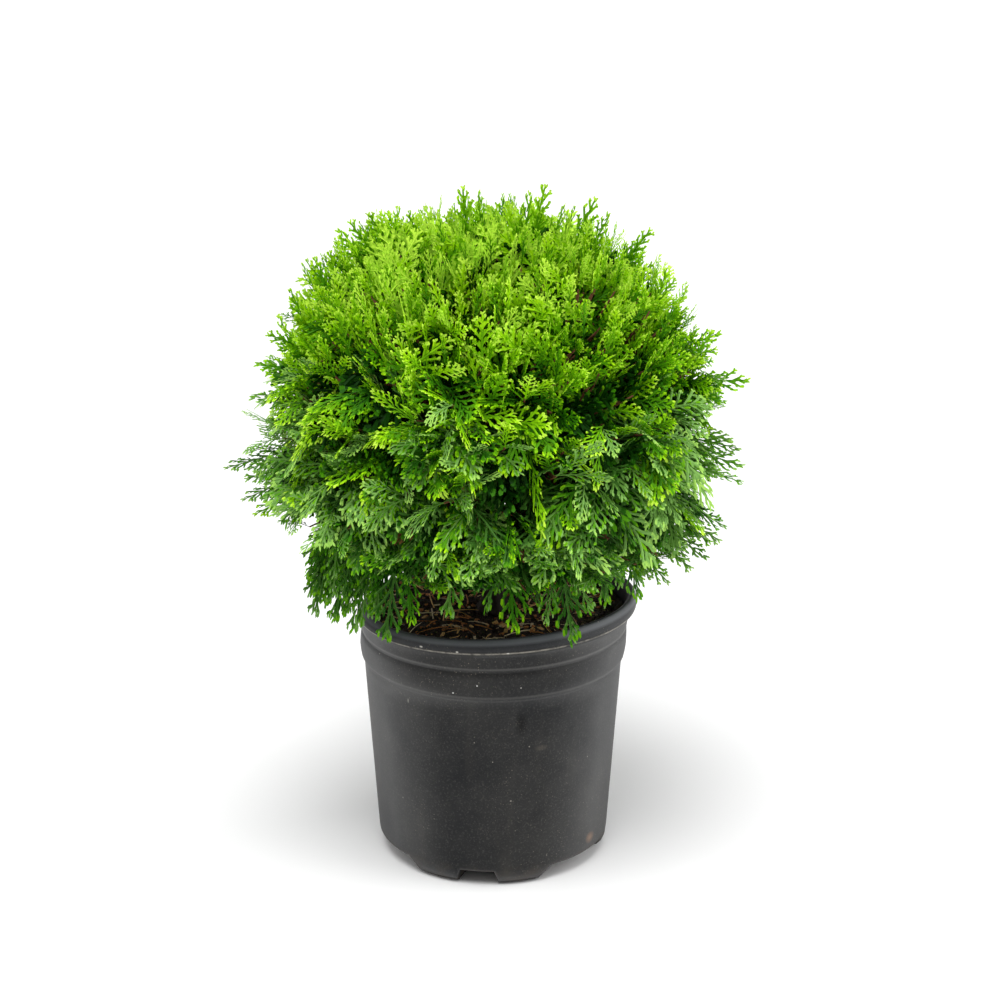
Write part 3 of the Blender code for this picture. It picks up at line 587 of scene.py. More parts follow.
def pot_rings(azimuths, notch):
    """All rings of the pot from the underside's edge, up the wall, over the lip and down inside."""
    flat = np.zeros_like(azimuths)
    left = 1.0 - notch / WALL_FOOT[1]
    lean = NOTCH_LEAN * notch / NOTCH_HEIGHT
    reach = WALL_FOOT[0] - FOOT_RADIUS
    rings = [warped_ring(FLOOR_FLAT_RADIUS + flat, flat, azimuths)]
    rings.append(warped_ring(FOOT_RADIUS + lean, notch, azimuths))
    for outwards, upwards in CORNER_ROWS:
        radii = FOOT_RADIUS + outwards + lean * (1.0 - outwards / reach)
        rings.append(warped_ring(radii, notch + upwards * left, azimuths))
    wall = [(mix(WALL_FOOT[0], WALL_TOP[0], s), mix(WALL_FOOT[1], WALL_TOP[1], s)) for s in np.linspace(0, 1, 14)]
    for radius, height in (*wall, *BAND_PROFILE, *INNER_PROFILE):
        rings.append(warped_ring(radius + flat, height + flat, azimuths))
    rings.append(warped_ring(INNER_CORNER_RADIUS + flat, notch + FLOOR_THICKNESS, azimuths))
    rings.append(warped_ring(FLOOR_FLAT_RADIUS + flat, FLOOR_THICKNESS + flat, azimuths))
    return rings


def make_pot(material):
    """Pot: rings of a profile carried round the axis, with a UV map of turn and profile length."""
    azimuths, notch = fine_stations()
    rings = np.stack(pot_rings(azimuths, notch))
    rows, columns, _ = rings.shape
    middle = rings.mean(axis=1)
    radius = np.linalg.norm(rings[:, :, :2] - middle[:, None, :2], axis=2).mean(axis=1)
    profile = np.stack([radius, middle[:, 2]], axis=1)
    length = np.append(0.0, np.cumsum(np.linalg.norm(np.diff(profile, axis=0), axis=1)))
    lip = int(np.argmax(profile[:, 1]))
    turn = np.arange(columns) / columns
    uv = np.stack(np.broadcast_arrays(turn[None, :], (length / length[lip])[:, None]), axis=2)
    points = np.concatenate([rings.reshape(-1, 3), ((0, 0, 0), (0, 0, FLOOR_THICKNESS))])
    uv = np.concatenate([uv.reshape(-1, 2), ((0.5, 0.0), (0.5, 2.0))])
    start = (rows - 1) * columns
    faces = [grid_faces(rows, columns)]
    faces.append(cap_faces(0, rows * columns, columns, True))
    faces.append(cap_faces(start, rows * columns + 1, columns, False))
    item = piece("pot_shell", points, np.concatenate(faces), [material], smooth=True, uv=uv)
    bevel_sharp_edges(item)
    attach(item, "root")
    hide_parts("pot")


def bevel_sharp_edges(item):
    """Mark edges that turn hard as sharp, so that smooth shading stops there."""
    item.data.set_sharp_from_angle(angle=math.radians(50.0))


# Soil

def soil_relief(x, y):
    """Height of the soil: a mound with crossing waves of several lengths, as crumbs and clods."""
    radius = np.hypot(x, y)
    height = SOIL_EDGE + SOIL_MOUND * (1.0 - (radius / SOIL_MOUND_RADIUS) ** 2)
    waves = ((61.0, 23.0, 0.0009, 0.3), (-37.0, 88.0, 0.0008, 1.9), (151.0, -97.0, 0.0007, 4.0),
             (240.0, 190.0, 0.0006, 2.2), (-410.0, 330.0, 0.0005, 5.1), (520.0, 610.0, 0.0004, 0.7))
    for across, along, depth, phase in waves:
        height = height + depth * np.sin(across * x + along * y + phase + 2.0 * np.sin(0.7 * along * x))
    return height


def make_soil(material):
    """Soil: a polar grid with crumbs, and a plain side and bottom inside the pot."""
    rng = np.random.default_rng(11)
    columns = 252
    azimuths, notch = fine_stations()
    radii = np.concatenate([np.linspace(0.004, 0.118, 74), np.linspace(0.1195, SOIL_EDGE_RADIUS, 5)])
    x = radii[:, None] * np.cos(azimuths)
    y = radii[:, None] * np.sin(azimuths)
    crumbs = rng.normal(0.0, 0.00045, x.shape) * np.clip((0.122 - radii) / 0.01, 0.0, 1.0)[:, None]
    top = np.stack([x, y, soil_relief(x, y) + crumbs], axis=2)
    share = np.clip((radii - 0.118) / (SOIL_EDGE_RADIUS - 0.118), 0.0, 1.0)[:, None]
    edge = warped_ring(SOIL_EDGE_RADIUS + 0.0 * azimuths, SOIL_EDGE + 0.0 * azimuths, azimuths)
    top = top + (edge - np.stack([SOIL_EDGE_RADIUS * np.cos(azimuths), SOIL_EDGE_RADIUS * np.sin(azimuths),
                                  SOIL_EDGE + 0.0 * azimuths], axis=1))[None] * share[..., None]
    sides = []
    for radius, height in ((0.1266, 0.2400), (0.1266, 0.2080), (0.1236, 0.1990), (0.1107, 0.0240)):
        sides.append(warped_ring(radius - SOIL_GAP + 0.0 * azimuths, height + 0.0 * azimuths, azimuths))
    sides.append(warped_ring(INNER_CORNER_RADIUS - SOIL_GAP + 0.0 * azimuths, notch + 0.0048, azimuths))
    sides.append(warped_ring(0.0780 + 0.0 * azimuths, 0.0048 + 0.0 * azimuths, azimuths))
    rings = np.concatenate([top, np.stack(sides)])
    rows = len(rings)
    points = np.concatenate([rings.reshape(-1, 3), ((0, 0, soil_relief(0.0, 0.0)), (0, 0, 0.0048))])
    faces = [grid_faces(rows, columns)]
    faces.append(cap_faces(0, rows * columns, columns, True))
    faces.append(cap_faces((rows - 1) * columns, rows * columns + 1, columns, False))
    faces = np.concatenate(faces)[:, ::-1]
    item = piece("soil_bed", points, faces, [material], smooth=True)
    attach(item, "root")
    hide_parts("soil")


def chips(rng, count, radius, size, flatness):
    """Rough chips lying on the soil: boxes of eight uneven corners, turned at random."""
    corner = np.array([(x, y, z) for z in (-1, 1) for y in (-1, 1) for x in (-1, 1)], float)
    quads = ((0, 2, 3, 1), (4, 5, 7, 6), (0, 1, 5, 4), (2, 6, 7, 3), (0, 4, 6, 2), (1, 3, 7, 5))
    faces = np.array([t for a, b, c, d in quads for t in ((a, b, c), (a, c, d))])
    length = rng.uniform(*size, count)
    scale = np.stack([length, length * rng.uniform(0.35, 0.8, count), length * flatness], axis=1)
    shape = corner[None] * rng.uniform(0.55, 1.0, (count, 8, 3)) * scale[:, None] * 0.5
    turn, tip = rng.uniform(0, 2 * np.pi, count), rng.normal(0.0, 0.35, count)
    ct, st, cp, sp = np.cos(turn), np.sin(turn), np.cos(tip), np.sin(tip)
    x = shape[..., 0] * cp[:, None] + shape[..., 2] * sp[:, None]
    z = shape[..., 2] * cp[:, None] - shape[..., 0] * sp[:, None]
    y = shape[..., 1]
    shape = np.stack([x * ct[:, None] - y * st[:, None], x * st[:, None] + y * ct[:, None], z], axis=2)
    spread = radius * np.sqrt(rng.uniform(0.02, 1.0, count))
    azimuth = rng.uniform(0, 2 * np.pi, count)
    px, py = spread * np.cos(azimuth), spread * np.sin(azimuth)
    foot = np.stack([px, py, soil_relief(px, py) + 0.0006], axis=1)
    offsets = np.arange(count)[:, None, None] * 8
    return (shape + foot[:, None]).reshape(-1, 3), (faces[None] + offsets).reshape(-1, 3)


def make_litter(materials):
    """Bark chips, crumbs, straw and fine twigs on the soil."""
    rng = np.random.default_rng(23)
    points, faces, slots, base = [], [], [], 0
    for count, size, flatness, slot in ((900, (0.0012, 0.0040), 0.6, 0), (260, (0.0020, 0.0065), 0.4, 1),
                                        (90, (0.0020, 0.0080), 0.3, 2), (36, (0.0020, 0.0070), 0.3, 3)):
        p, f = chips(rng, count, 0.119, size, flatness)
        points.append(p)
        faces.append(f + base)
        slots.append(np.full(len(f), slot))
        base += len(p)
    count = 170
    spread = 0.112 * np.sqrt(rng.uniform(0.05, 1.0, count))
    azimuth = rng.uniform(0, 2 * np.pi, count)
    x, y = spread * np.cos(azimuth), spread * np.sin(azimuth)
    length = rng.uniform(0.006, 0.034, count)
    heading = outward(rng.uniform(0, 2 * np.pi, count)) * length[:, None]
    start = np.stack([x, y, soil_relief(x, y) + 0.0012], axis=1)
    end = start + heading
    out = np.hypot(end[:, 0], end[:, 1])
    end[:, :2] *= np.minimum(1.0, 0.121 / out)[:, None]
    end[:, 2] = soil_relief(end[:, 0], end[:, 1]) + rng.uniform(0.0008, 0.0040, count)
    middle = 0.5 * (start + end) + rng.normal(0.0, 0.0016, (count, 3)) + UP * 0.001
    thickness = rng.uniform(0.0003, 0.0008, count)[:, None] * np.array((1.0, 1.0, 0.9, 0.6))
    p, f = rods(bezier(start, middle, end, 4), thickness, 4)
    points.append(p)
    faces.append(f + base)
    slots.append(np.repeat(rng.choice((1, 2, 3), count, p=(0.45, 0.3, 0.25)), len(f) // count))
    item = piece("soil_litter", np.concatenate(points), np.concatenate(faces), materials,
                 np.concatenate(slots))
    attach(item, "root")


# Limbs

def soil_top():
    """Height of the flat soil round the trunk in the solids."""
    return SOIL_EDGE + SOIL_MOUND * (1.0 - (0.0250 / SOIL_MOUND_RADIUS) ** 2)


def trunk_centre(height):
    """Centre line of the trunk at heights above the soil."""
    height = np.asarray(height, float)
    foot = soil_top() + GAP
    return np.stack([TRUNK_LEAN[0] * height, TRUNK_LEAN[1] * height, foot + height], axis=-1)


def furrows(turn, along, depth):
    """Bark relief: ridges that wander as they run along the limb, from sums of sines."""
    wander = 0.9 * np.sin(38.0 * along) + 0.5 * np.sin(91.0 * along + 2.0)
    ridge = np.sin(9.0 * turn + wander) + 0.6 * np.sin(17.0 * turn - 2.0 * wander + 55.0 * along)
    return depth * (ridge + 0.5 * np.sin(5.0 * turn + 160.0 * along))


def make_trunk(material):
    """Trunk: section radius with five flare lobes at the foot and furrowed bark relief."""
    heights = np.concatenate([np.linspace(0.0, 0.03, 16), np.linspace(0.034, 0.255, 90)])
    columns = 48
    turn = 2.0 * np.pi * np.arange(columns) / columns
    sections = np.array(TRUNK_SECTIONS)
    radius = np.interp(heights, sections[:, 0], sections[:, 1])[:, None]
    flare = FLARE_DEPTH * np.clip(1.0 - heights / FLARE_HEIGHT, 0.0, 1.0)[:, None]
    radius = radius * (1.0 + flare * np.cos(FLARE_LOBES * turn))
    radius = radius + furrows(turn[None], heights[:, None], 0.00028) * np.clip(radius / 0.009, 0.3, 1.0)
    rings = trunk_centre(heights)[:, None] + outward(turn)[None] * radius[..., None]
    rows = len(heights)
    points = np.concatenate([rings.reshape(-1, 3), trunk_centre(np.array((0.0, heights[-1])))])
    faces = [grid_faces(rows, columns)]
    faces.append(cap_faces(0, rows * columns, columns, True))
    faces.append(cap_faces((rows - 1) * columns, rows * columns + 1, columns, False))
    item = piece("trunk_bark", points, np.concatenate(faces), [material], smooth=True)
    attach(item, "root")
    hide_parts("trunk")


def mass_seeds():
    """Name, ring, azimuth and seed point of each mass, by the source's rule."""
    seeds = [("top", "top", 0.0, np.array(TOP_SEED))]
    depth, rate, phase = SEED_WAVE
    for ring, radius, height, count, first in RINGS:
        for step in range(count):
            azimuth = math.radians(first) + 2.0 * math.pi * step / count
            wave = depth * math.sin(rate * step + phase)
            seeds.append((f"{ring}_{step + 1}", ring, azimuth, outward(azimuth) * radius + UP * (height + wave)))
    return seeds


def bough_curve(index, seeds):
    """Foot, middle and tip of a bough's curve, by the source's rule."""
    _, ring, azimuth, _ = seeds[index]
    stagger = BOUGH_STAGGER * (index % 2)
    foot = trunk_centre(BOUGH_FOOT[ring] + stagger - soil_top() - GAP)
    tip = outward(azimuth) * (RING_CLEAR[ring] - BOUGH_RADIUS[ring])
    tip[2] = BOUGH_TIP[ring] + stagger
    middle = mix(foot, tip, 0.5) + outward(azimuth) * BOUGH_SAG[0] + UP * BOUGH_SAG[1]
    return foot, middle, tip


def make_boughs(seeds, material):
    """Boughs: tapering tubes with furrowed relief along the source's curves."""
    points, faces, base = [], [], 0
    rows, columns = 26, 20
    turn = 2.0 * np.pi * np.arange(columns) / columns
    share = np.linspace(0.0, 1.0, rows)
    for index in range(1, len(seeds)):
        foot, middle, tip = bough_curve(index, seeds)
        path = bezier(foot[None], middle[None], tip[None], rows)[0]
        radius = BOUGH_RADIUS[seeds[index][1]] * mix(1.0, BOUGH_TIP_SHARE, share)[:, None]
        radius = radius + furrows(turn[None] + index, share[:, None] * 0.06, 0.00016)
        tangent = unit(np.gradient(path, axis=0))
        side = unit(np.cross(tangent, UP))
        other = np.cross(tangent, side)
        spoke = side[:, None] * np.cos(turn)[None, :, None] + other[:, None] * np.sin(turn)[None, :, None]
        rings = path[:, None] + spoke * radius[..., None]
        points.append(np.concatenate([rings.reshape(-1, 3), path[[0, -1]]]))
        made = [grid_faces(rows, columns), cap_faces(0, rows * columns, columns, True)]
        made.append(cap_faces((rows - 1) * columns, rows * columns + 1, columns, False))
        faces.append(np.concatenate(made) + base)
        base += rows * columns + 2
    item = piece("boughs_bark", np.concatenate(points), np.concatenate(faces), [material], smooth=True)
    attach(item, "root")
    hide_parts(*[f"bough_{name}" for name, _, _, _ in seeds[1:]])


# Crown

def crown_level(points):
    """Level of points in the crown: 0 at its centre and 1 on its outline."""
    radius = np.hypot(points[..., 0], points[..., 1])
    rise = points[..., 2] - CROWN_CENTRE
    azimuth = np.arctan2(points[..., 1], points[..., 0])
    below = CROWN_BELOW + CROWN_DROOP * np.cos(azimuth - CROWN_DROOP_TOWARDS)
    upper = (radius / CROWN_RADIUS) ** UPPER_POWER + (np.abs(rise) / CROWN_ABOVE) ** UPPER_POWER
    lower = (radius / CROWN_RADIUS) ** LOWER_POWER + (np.abs(rise) / below) ** LOWER_POWER
    return np.where(rise >= 0.0, upper ** (1.0 / UPPER_POWER), lower ** (1.0 / LOWER_POWER))


def crown_points(directions, levels):
    """Points at levels in directions from the crown's centre."""
    centre = UP * CROWN_CENTRE
    reach = levels / crown_level(centre + directions)
    return centre + directions * reach[:, None]


def golden_directions(count, lowest, turned=0.0):
    """Even spread of directions over the crown by the golden angle, from its top to its skirt."""
    step = np.arange(count)
    height = 1.0 + (lowest - 1.0) * (step + 0.5) / count
    across = np.sqrt(1.0 - height * height)
    return outward(math.pi * (3.0 - math.sqrt(5.0)) * step + turned) * across[:, None] + UP * height[:, None]


# Spray templates

SPRAY_KINDS = {
    "fan": dict(ribs=12, first=0.10, angles=(48.0, 34.0), reach=0.36, belly=0.36, nub_step=0.086,
                nub=0.112, nub_angle=34.0, width=0.0350, bow=0.12),
    "plume": dict(ribs=12, first=0.10, angles=(44.0, 30.0), reach=0.37, belly=0.42, nub_step=0.090,
                  nub=0.108, nub_angle=32.0, width=0.0335, bow=0.20),
    "crest": dict(ribs=11, first=0.13, angles=(42.0, 26.0), reach=0.33, belly=0.38, nub_step=0.060,
                  nub=0.092, nub_angle=32.0, width=0.0330, bow=0.08),
    "antler": dict(ribs=8, first=0.26, angles=(34.0, 22.0), reach=0.26, belly=0.50, nub_step=0.070,
                   nub=0.075, nub_angle=30.0, width=0.0310, bow=0.05),
    "inner": dict(ribs=9, first=0.12, angles=(50.0, 32.0), reach=0.42, belly=0.40, nub_step=0.140,
                  nub=0.130, nub_angle=36.0, width=0.0560, bow=0.10),
}
# Tones along a spray: darker at its foot and lighter towards the rib tips, partly the fresher growth at the tips and
# partly painted shade on the feet deep in the crown.
TONE_FOOT = 0.25
TONE_ALONG_SPRAY = 0.24
TONE_ALONG_RIB = 0.31
TONE_OF_NUB = 0.07


def rib_length(kind, along):
    """Length of the side rib that starts at a share of the spray: longest at the belly."""
    belly = kind["belly"]
    fall = (along - belly) / (1.0 - belly) if along > belly else (along - belly) / (belly + 0.30)
    return kind["reach"] * max(0.18, 1.0 - abs(fall) ** 1.6)


def heading_of(angle):
    """Flat unit vector at an angle from the spray's rib."""
    return np.array((math.cos(angle), math.sin(angle)))


def tone_at(along, share):
    """Tone on a rib that starts at a share along the spray, at a share along the rib."""
    return TONE_FOOT + TONE_ALONG_SPRAY * along + TONE_ALONG_RIB * share ** 3


def branchlet(start, end, bow, width, order, first_tone, last_tone):
    """One branchlet of a flat spray, as a row for the mesh."""
    return dict(start=start, end=end, bow=bow, width=width, order=order, tones=(first_tone, last_tone))


def grow_spray(kind, rng):
    """Branchlets of one flat spray: its rib, side ribs on alternate sides, nubs and forks."""
    sway = rng.uniform(-0.05, 0.05)
    width = kind["width"]
    made = [branchlet((0.0, 0.0), (1.0, 0.0), sway, width * 0.95, 0, TONE_FOOT, tone_at(1.0, 0.8))]
    for step in range(kind["ribs"]):
        along = mix(kind["first"], 0.93, step / (kind["ribs"] - 1)) + rng.uniform(-0.014, 0.014)
        side = 1.0 if step % 2 else -1.0
        angle = math.radians(mix(*kind["angles"], along) + rng.uniform(-6, 6)) * side
        length = rib_length(kind, along) * rng.uniform(0.78, 1.16)
        start = np.array((along, sway * 2.0 * along * (1.0 - along)))
        end = start + heading_of(angle) * length
        bow = -side * kind["bow"] * rng.uniform(0.6, 1.3)
        made.append(branchlet(start, end, bow, width, 1, tone_at(along, 0.0), tone_at(along, 1.0)))
        made += nubs_on(kind, rng, along, start, end, bow, angle, length, side)
    for side in (-1.0, 1.0):
        start = np.array((0.955, 0.0))
        end = start + heading_of(side * math.radians(32.0)) * kind["nub"] * rng.uniform(0.6, 1.0)
        made.append(branchlet(start, end, 0.0, width * 0.85, 2, tone_at(0.95, 0.9), tone_at(1.0, 1.0)))
    return made


def nubs_on(kind, rng, along, start, end, bow, angle, length, side):
    """Short blunt nubs on alternate sides of a side rib, and a fork at its tip."""
    count = int(round((length - 0.04) / kind["nub_step"]))
    across = np.array((-(end - start)[1], (end - start)[0]))
    made = []
    for step in range(count):
        share = (step + 1.0) / (count + 0.6)
        foot = mix(start, end, share) + across * bow * 2.0 * share * (1.0 - share)
        hand = side if step % 2 else -side
        lean = angle + hand * math.radians(kind["nub_angle"] + rng.uniform(-8, 8))
        size = kind["nub"] * mix(1.08, 0.62, share) * rng.uniform(0.72, 1.2)
        size *= 1.15 if hand != side else 0.9
        tone = tone_at(along, share)
        made.append(branchlet(foot, foot + heading_of(lean) * size, 0.0, kind["width"] * 0.96, 2,
                              tone, tone + TONE_OF_NUB))
    if length > 0.12:
        foot = mix(start, end, 0.88)
        lean = angle - side * math.radians(30.0)
        tone = tone_at(along, 1.0)
        made.append(branchlet(foot, foot + heading_of(lean) * kind["nub"] * 0.62, 0.0, kind["width"], 2, tone, tone))
    return made


RIB_SHAPES = {
    0: ((0.0, 1.00), (0.34, 1.05), (0.66, 0.95), (0.93, 0.85)),
    1: ((0.0, 0.66), (0.45, 1.00), (0.88, 0.95)),
}
NUB_SHOULDER = 0.70
NUB_FOOT = 0.80


def chosen_lines(branchlets, order):
    """Start, end, bow, width and tones of the branchlets of one order."""
    chosen = [b for b in branchlets if b["order"] == order]
    return [np.array([b[key] for b in chosen], float) for key in ("start", "end", "bow", "width", "tones")]


def rib_strips(branchlets, order, rng):
    """Ribs as strips with a raised ridge, two faces wide, that end in a point.

    A station's edge points are half a width from the bowed centre line and its ridge point
    stands a quarter of a width above it.
    """
    start, end, bow, width, tones = chosen_lines(branchlets, order)
    share = np.array([s for s, _ in RIB_SHAPES[order]])
    wide = np.array([w for _, w in RIB_SHAPES[order]])
    run = end - start
    across = np.stack([-run[:, 1], run[:, 0]], axis=1)
    bend = (2.0 * share * (1.0 - share))[None, :, None] * bow[:, None, None]
    centre = start[:, None] + run[:, None] * share[None, :, None] + across[:, None] * bend
    aside = unit(across)[:, None] * (0.5 * width[:, None] * wide)[..., None]
    tilt = rng.normal(0.0, 0.05, len(start))[:, None] * share * np.linalg.norm(run, axis=1)[:, None]
    level = 0.004 * order + tilt
    ridge = level + 0.30 * width[:, None] * wide
    left = np.concatenate([centre + aside, level[..., None]], axis=2)
    top = np.concatenate([centre, ridge[..., None]], axis=2)
    right = np.concatenate([centre - aside, level[..., None]], axis=2)
    body = np.stack([left, top, right], axis=2).reshape(len(start), len(share) * 3, 3)
    point = np.concatenate([end, level[:, -1:]], axis=1)[:, None]
    faces = []
    for station in range(len(share) - 1):
        for corner in (3 * station, 3 * station + 1):
            faces += [(corner, corner + 1, corner + 4), (corner, corner + 4, corner + 3)]
    last = 3 * (len(share) - 1)
    faces += [(last, last + 1, last + 3), (last + 1, last + 2, last + 3)]
    faces = np.array(faces)
    along = np.minimum(faces.min(axis=1) // 3, len(share) - 1) / (len(share) - 1)
    return np.concatenate([body, point], axis=1), faces, mix(tones[:, :1], tones[:, 1:], along[None] ** 2)


def nub_blades(branchlets, rng):
    """Nubs as blades of three faces: two corners at the foot, two shoulders and a blunt tip."""
    start, end, _, width, tones = chosen_lines(branchlets, 2)
    run = end - start
    aside = unit(np.stack([-run[:, 1], run[:, 0]], axis=1)) * (0.5 * width)[:, None]
    rise = rng.normal(0.0, 0.09, len(start)) * np.linalg.norm(run, axis=1)
    roll = rng.normal(0.0, 0.16, len(start)) * width
    shoulder = start + run * NUB_SHOULDER
    foot = aside * NUB_FOOT
    flat = [start + foot, start - foot, shoulder + aside, shoulder - aside, end]
    level = [0.008 + 0.0 * rise, 0.008 + 0.0 * rise, 0.008 + rise * 0.8 + roll, 0.008 + rise * 0.8 - roll, rise]
    points = np.stack([np.concatenate([p, z[:, None]], axis=1) for p, z in zip(flat, level)], axis=1)
    faces = np.array(((0, 1, 3), (0, 3, 2), (2, 3, 4)))
    return points, faces, mix(tones[:, :1], tones[:, 1:], np.array((0.0, 0.3, 1.0))[None])


def branchlet_mesh(branchlets, rng):
    """Points, triangles, tones and rib marks of one flat spray."""
    points, faces, tones, ribs, base = [], [], [], [], 0
    blocks = (rib_strips(branchlets, 0, rng), rib_strips(branchlets, 1, rng), nub_blades(branchlets, rng))
    for block, mark in zip(blocks, (True, True, False)):
        corners, shape, tone = block
        count, size, _ = corners.shape
        offsets = base + np.arange(count)[:, None, None] * size
        points.append(corners.reshape(-1, 3))
        faces.append((shape[None] + offsets).reshape(-1, 3))
        tones.append(tone.ravel())
        ribs.append(np.full(tone.size, mark))
        base += count * size
    return [np.concatenate(rows) for rows in (points, faces, tones, ribs)]


def spray_templates(name, variants, seed):
    """Variants of one kind of spray, in units of its length."""
    made = []
    for variant in range(variants):
        rng = np.random.default_rng(seed + variant)
        made.append(branchlet_mesh(grow_spray(SPRAY_KINDS[name], rng), rng))
    return made


# Placing sprays

def lumps(directions):
    """Low waves over the crown from -1 to 1, that make lobes and hollows of the foliage."""
    x, y, z = directions[:, 0], directions[:, 1], directions[:, 2]
    wave = np.sin(5.1 * x + 3.3 * z + 0.7) + np.sin(4.3 * y - 5.9 * z + 2.1)
    return 0.4 * (wave + np.sin(6.7 * x - 4.9 * y + 4.0 * z + 4.4))


def side_swell(points):
    """Share by which the outline swells on the left shoulder and falls in on the right one."""
    way = unit(points - UP * CROWN_CENTRE)
    left = np.clip(-way[..., 0] * 1.6, 0.0, 1.0) * np.interp(way[..., 2], (0.40, 0.52, 0.66, 0.80), (0, 1, 1, 0))
    right = np.clip(way[..., 0] * 1.6, 0.0, 1.0) * np.interp(way[..., 2], (0.25, 0.5, 0.85, 0.95), (0, 1, 1, 0))
    waist = np.interp(way[..., 2], (-0.2, 0.0, 0.25), (0, 1, 0))
    return 0.050 * left - 0.054 * right - 0.022 * np.clip(way[..., 0], 0.0, 1.0) * waist


def skirt_height(points):
    """Lowest height of foliage at points: the side curves mixed by the square of the direction."""
    radius = np.hypot(points[..., 0], points[..., 1])
    east = points[..., 0] / np.maximum(radius, 1e-6)
    left, right = np.clip(-east, 0.0, 1.0) ** 2, np.clip(east, 0.0, 1.0) ** 2
    height = left * np.interp(radius, *SKIRT_LEFT) + right * np.interp(radius, *SKIRT_RIGHT)
    return height + (1.0 - left - right) * np.interp(radius, *SKIRT_FRONT)


def tip_reach(roots, aims, levels, shortest, longest):
    """Lengths at which tips come to levels of the crown, found by halving."""
    low = np.full(len(roots), shortest)
    high = np.full(len(roots), longest)
    for _ in range(14):
        middle = 0.5 * (low + high)
        tips = roots + aims * middle[:, None]
        inside = crown_level(tips) < levels + side_swell(tips)
        low = np.where(inside, middle, low)
        high = np.where(inside, high, middle)
    return low


TWIG_DENSITY = ((-0.7, -0.2, 0.2, 0.5), (0.48, 0.53, 0.66, 1.0))
# Painted light by a spray's place on the crown: lighter towards the top and on the left, where the light falls, and
# darker low down and on the right.
PAINTED_LIGHT_BY_HEIGHT = ((-0.7, -0.3, 0.1, 0.5, 1.0), (0.48, 0.56, 0.74, 0.85, 1.10))
SIDE_PAINTED_LIGHT = 0.08
TOP_SPRAYS = 170
HANG_LIFTS = ((-0.8, -0.3, 0.0, 0.3, 0.6), (-32.0, -21.0, -12.0, -4.0, 6.0))
SHINGLE_FACING = (0.8, 0.6)
AZIMUTH_SCATTER = ((-0.3, 0.1, 0.6), (1.02, 0.88, 0.44))
DROOP_BY_HEIGHT = ((-0.8, -0.2, 0.3, 0.8, 1.0), (0.44, 0.38, 0.28, 0.06, 0.0))
SKIRT_RAG = 0.040
RISE_LIFTS = ((-0.5, 0.0, 0.3, 0.6, 1.0), (8.0, 30.0, 46.0, 66.0, 86.0))
RISE_CHANCE = ((-0.4, 0.0, 0.30, 0.55), (0.04, 0.14, 0.55, 1.0))


def fan_at(directions, turns, rolls, rising, rng):
    """Aim and flat side of sprays at places on the crown, turned within their fan.

    Each axis is the outward direction raised or lowered by the lift for its height, with
    scatter. A spray that rises keeps its flat side clear of the level; the others face
    outwards and up, like shingles.
    """
    height = directions[:, 2]
    way = np.arctan2(directions[:, 1], directions[:, 0])
    azimuth = way + rng.normal(0.0, 1.0, len(way)) * np.interp(height, *AZIMUTH_SCATTER)
    lift = np.where(rising, np.interp(height, *RISE_LIFTS), np.interp(height, *HANG_LIFTS))
    lift = np.radians(lift) + rng.normal(0.0, 0.20, len(way))
    axis = outward(azimuth) * np.cos(lift)[:, None] + UP * np.sin(lift)[:, None]
    upright = np.cross(axis, outward(azimuth + 0.5 * math.pi))
    shingle = outward(way) * SHINGLE_FACING[0] + UP * SHINGLE_FACING[1]
    facing = np.where(rising[:, None], upright, shingle)
    facing = unit(facing - axis * (facing * axis).sum(axis=1, keepdims=True))
    across = np.cross(facing, axis) * np.cos(rolls)[:, None] + facing * np.sin(rolls)[:, None]
    angle = turns * FAN_SPREAD * rng.uniform(0.7, 1.3, len(way))
    aim = axis * np.cos(angle)[:, None] + across * np.sin(angle)[:, None]
    aside = across * np.cos(angle)[:, None] - axis * np.sin(angle)[:, None]
    return unit(aim), unit(aside)


def lift_over_skirt(roots, aim, side, length, droop, rag):
    """Turn aims upwards and shorten sprays, step by step, where their tips would hang too low."""
    for _ in range(9):
        tip = roots + (aim - UP * droop[:, None]) * length[:, None]
        low = tip[:, 2] < skirt_height(tip) + rag + 0.22 * length * np.abs(side[:, 2])
        aim = np.where(low[:, None], unit(aim + UP * 0.15), aim)
        droop = np.where(low, droop * 0.88, droop)
        length = np.where(low, length * 0.97, length)
    side = unit(side - aim * (side * aim).sum(axis=1, keepdims=True))
    clear = roots[:, 2] > skirt_height(roots) + 0.004
    return aim, side, length, droop, clear & ~low


def spray_set(roots, directions, turns, rolls, rising, rng, kinds):
    """Sprays as arrays: where each grows from, its aim, side, length, sag and template."""
    aim, side = fan_at(directions, turns, rolls, rising, rng)
    count = len(roots)
    scatter = TIP_SCATTER * (1.0 + 0.5 * (directions[:, 2] > 0.4))
    levels = TIP_LEVEL + rng.normal(0.0, 1.0, count) * scatter + LUMP_DEPTH * lumps(directions)
    length = tip_reach(roots, aim, np.minimum(levels, TIP_LEVEL_MOST), *SPRAY_LENGTHS)
    length = length * rng.uniform(0.86, 1.0, count)
    droop = np.interp(directions[:, 2], *DROOP_BY_HEIGHT)
    droop = droop * rng.uniform(0.5, 1.5, count) * np.where(rising, 0.4, 1.0)
    rag = SKIRT_RAG * rng.uniform(0.0, 1.0, count) ** 1.5
    aim, side, length, droop, clear = lift_over_skirt(roots, aim, side, length, droop, rag)
    sprays = {
        "root": roots, "aim": aim, "side": side, "length": length, "droop": droop,
        "cup": rng.uniform(-0.15, 0.35, count), "widen": rng.uniform(0.9, 1.15, count),
        "hang": np.where(rising, 0.1, rng.uniform(0.0, 0.7, count)),
        "direction": directions, "template": kinds,
    }
    return sprays, clear


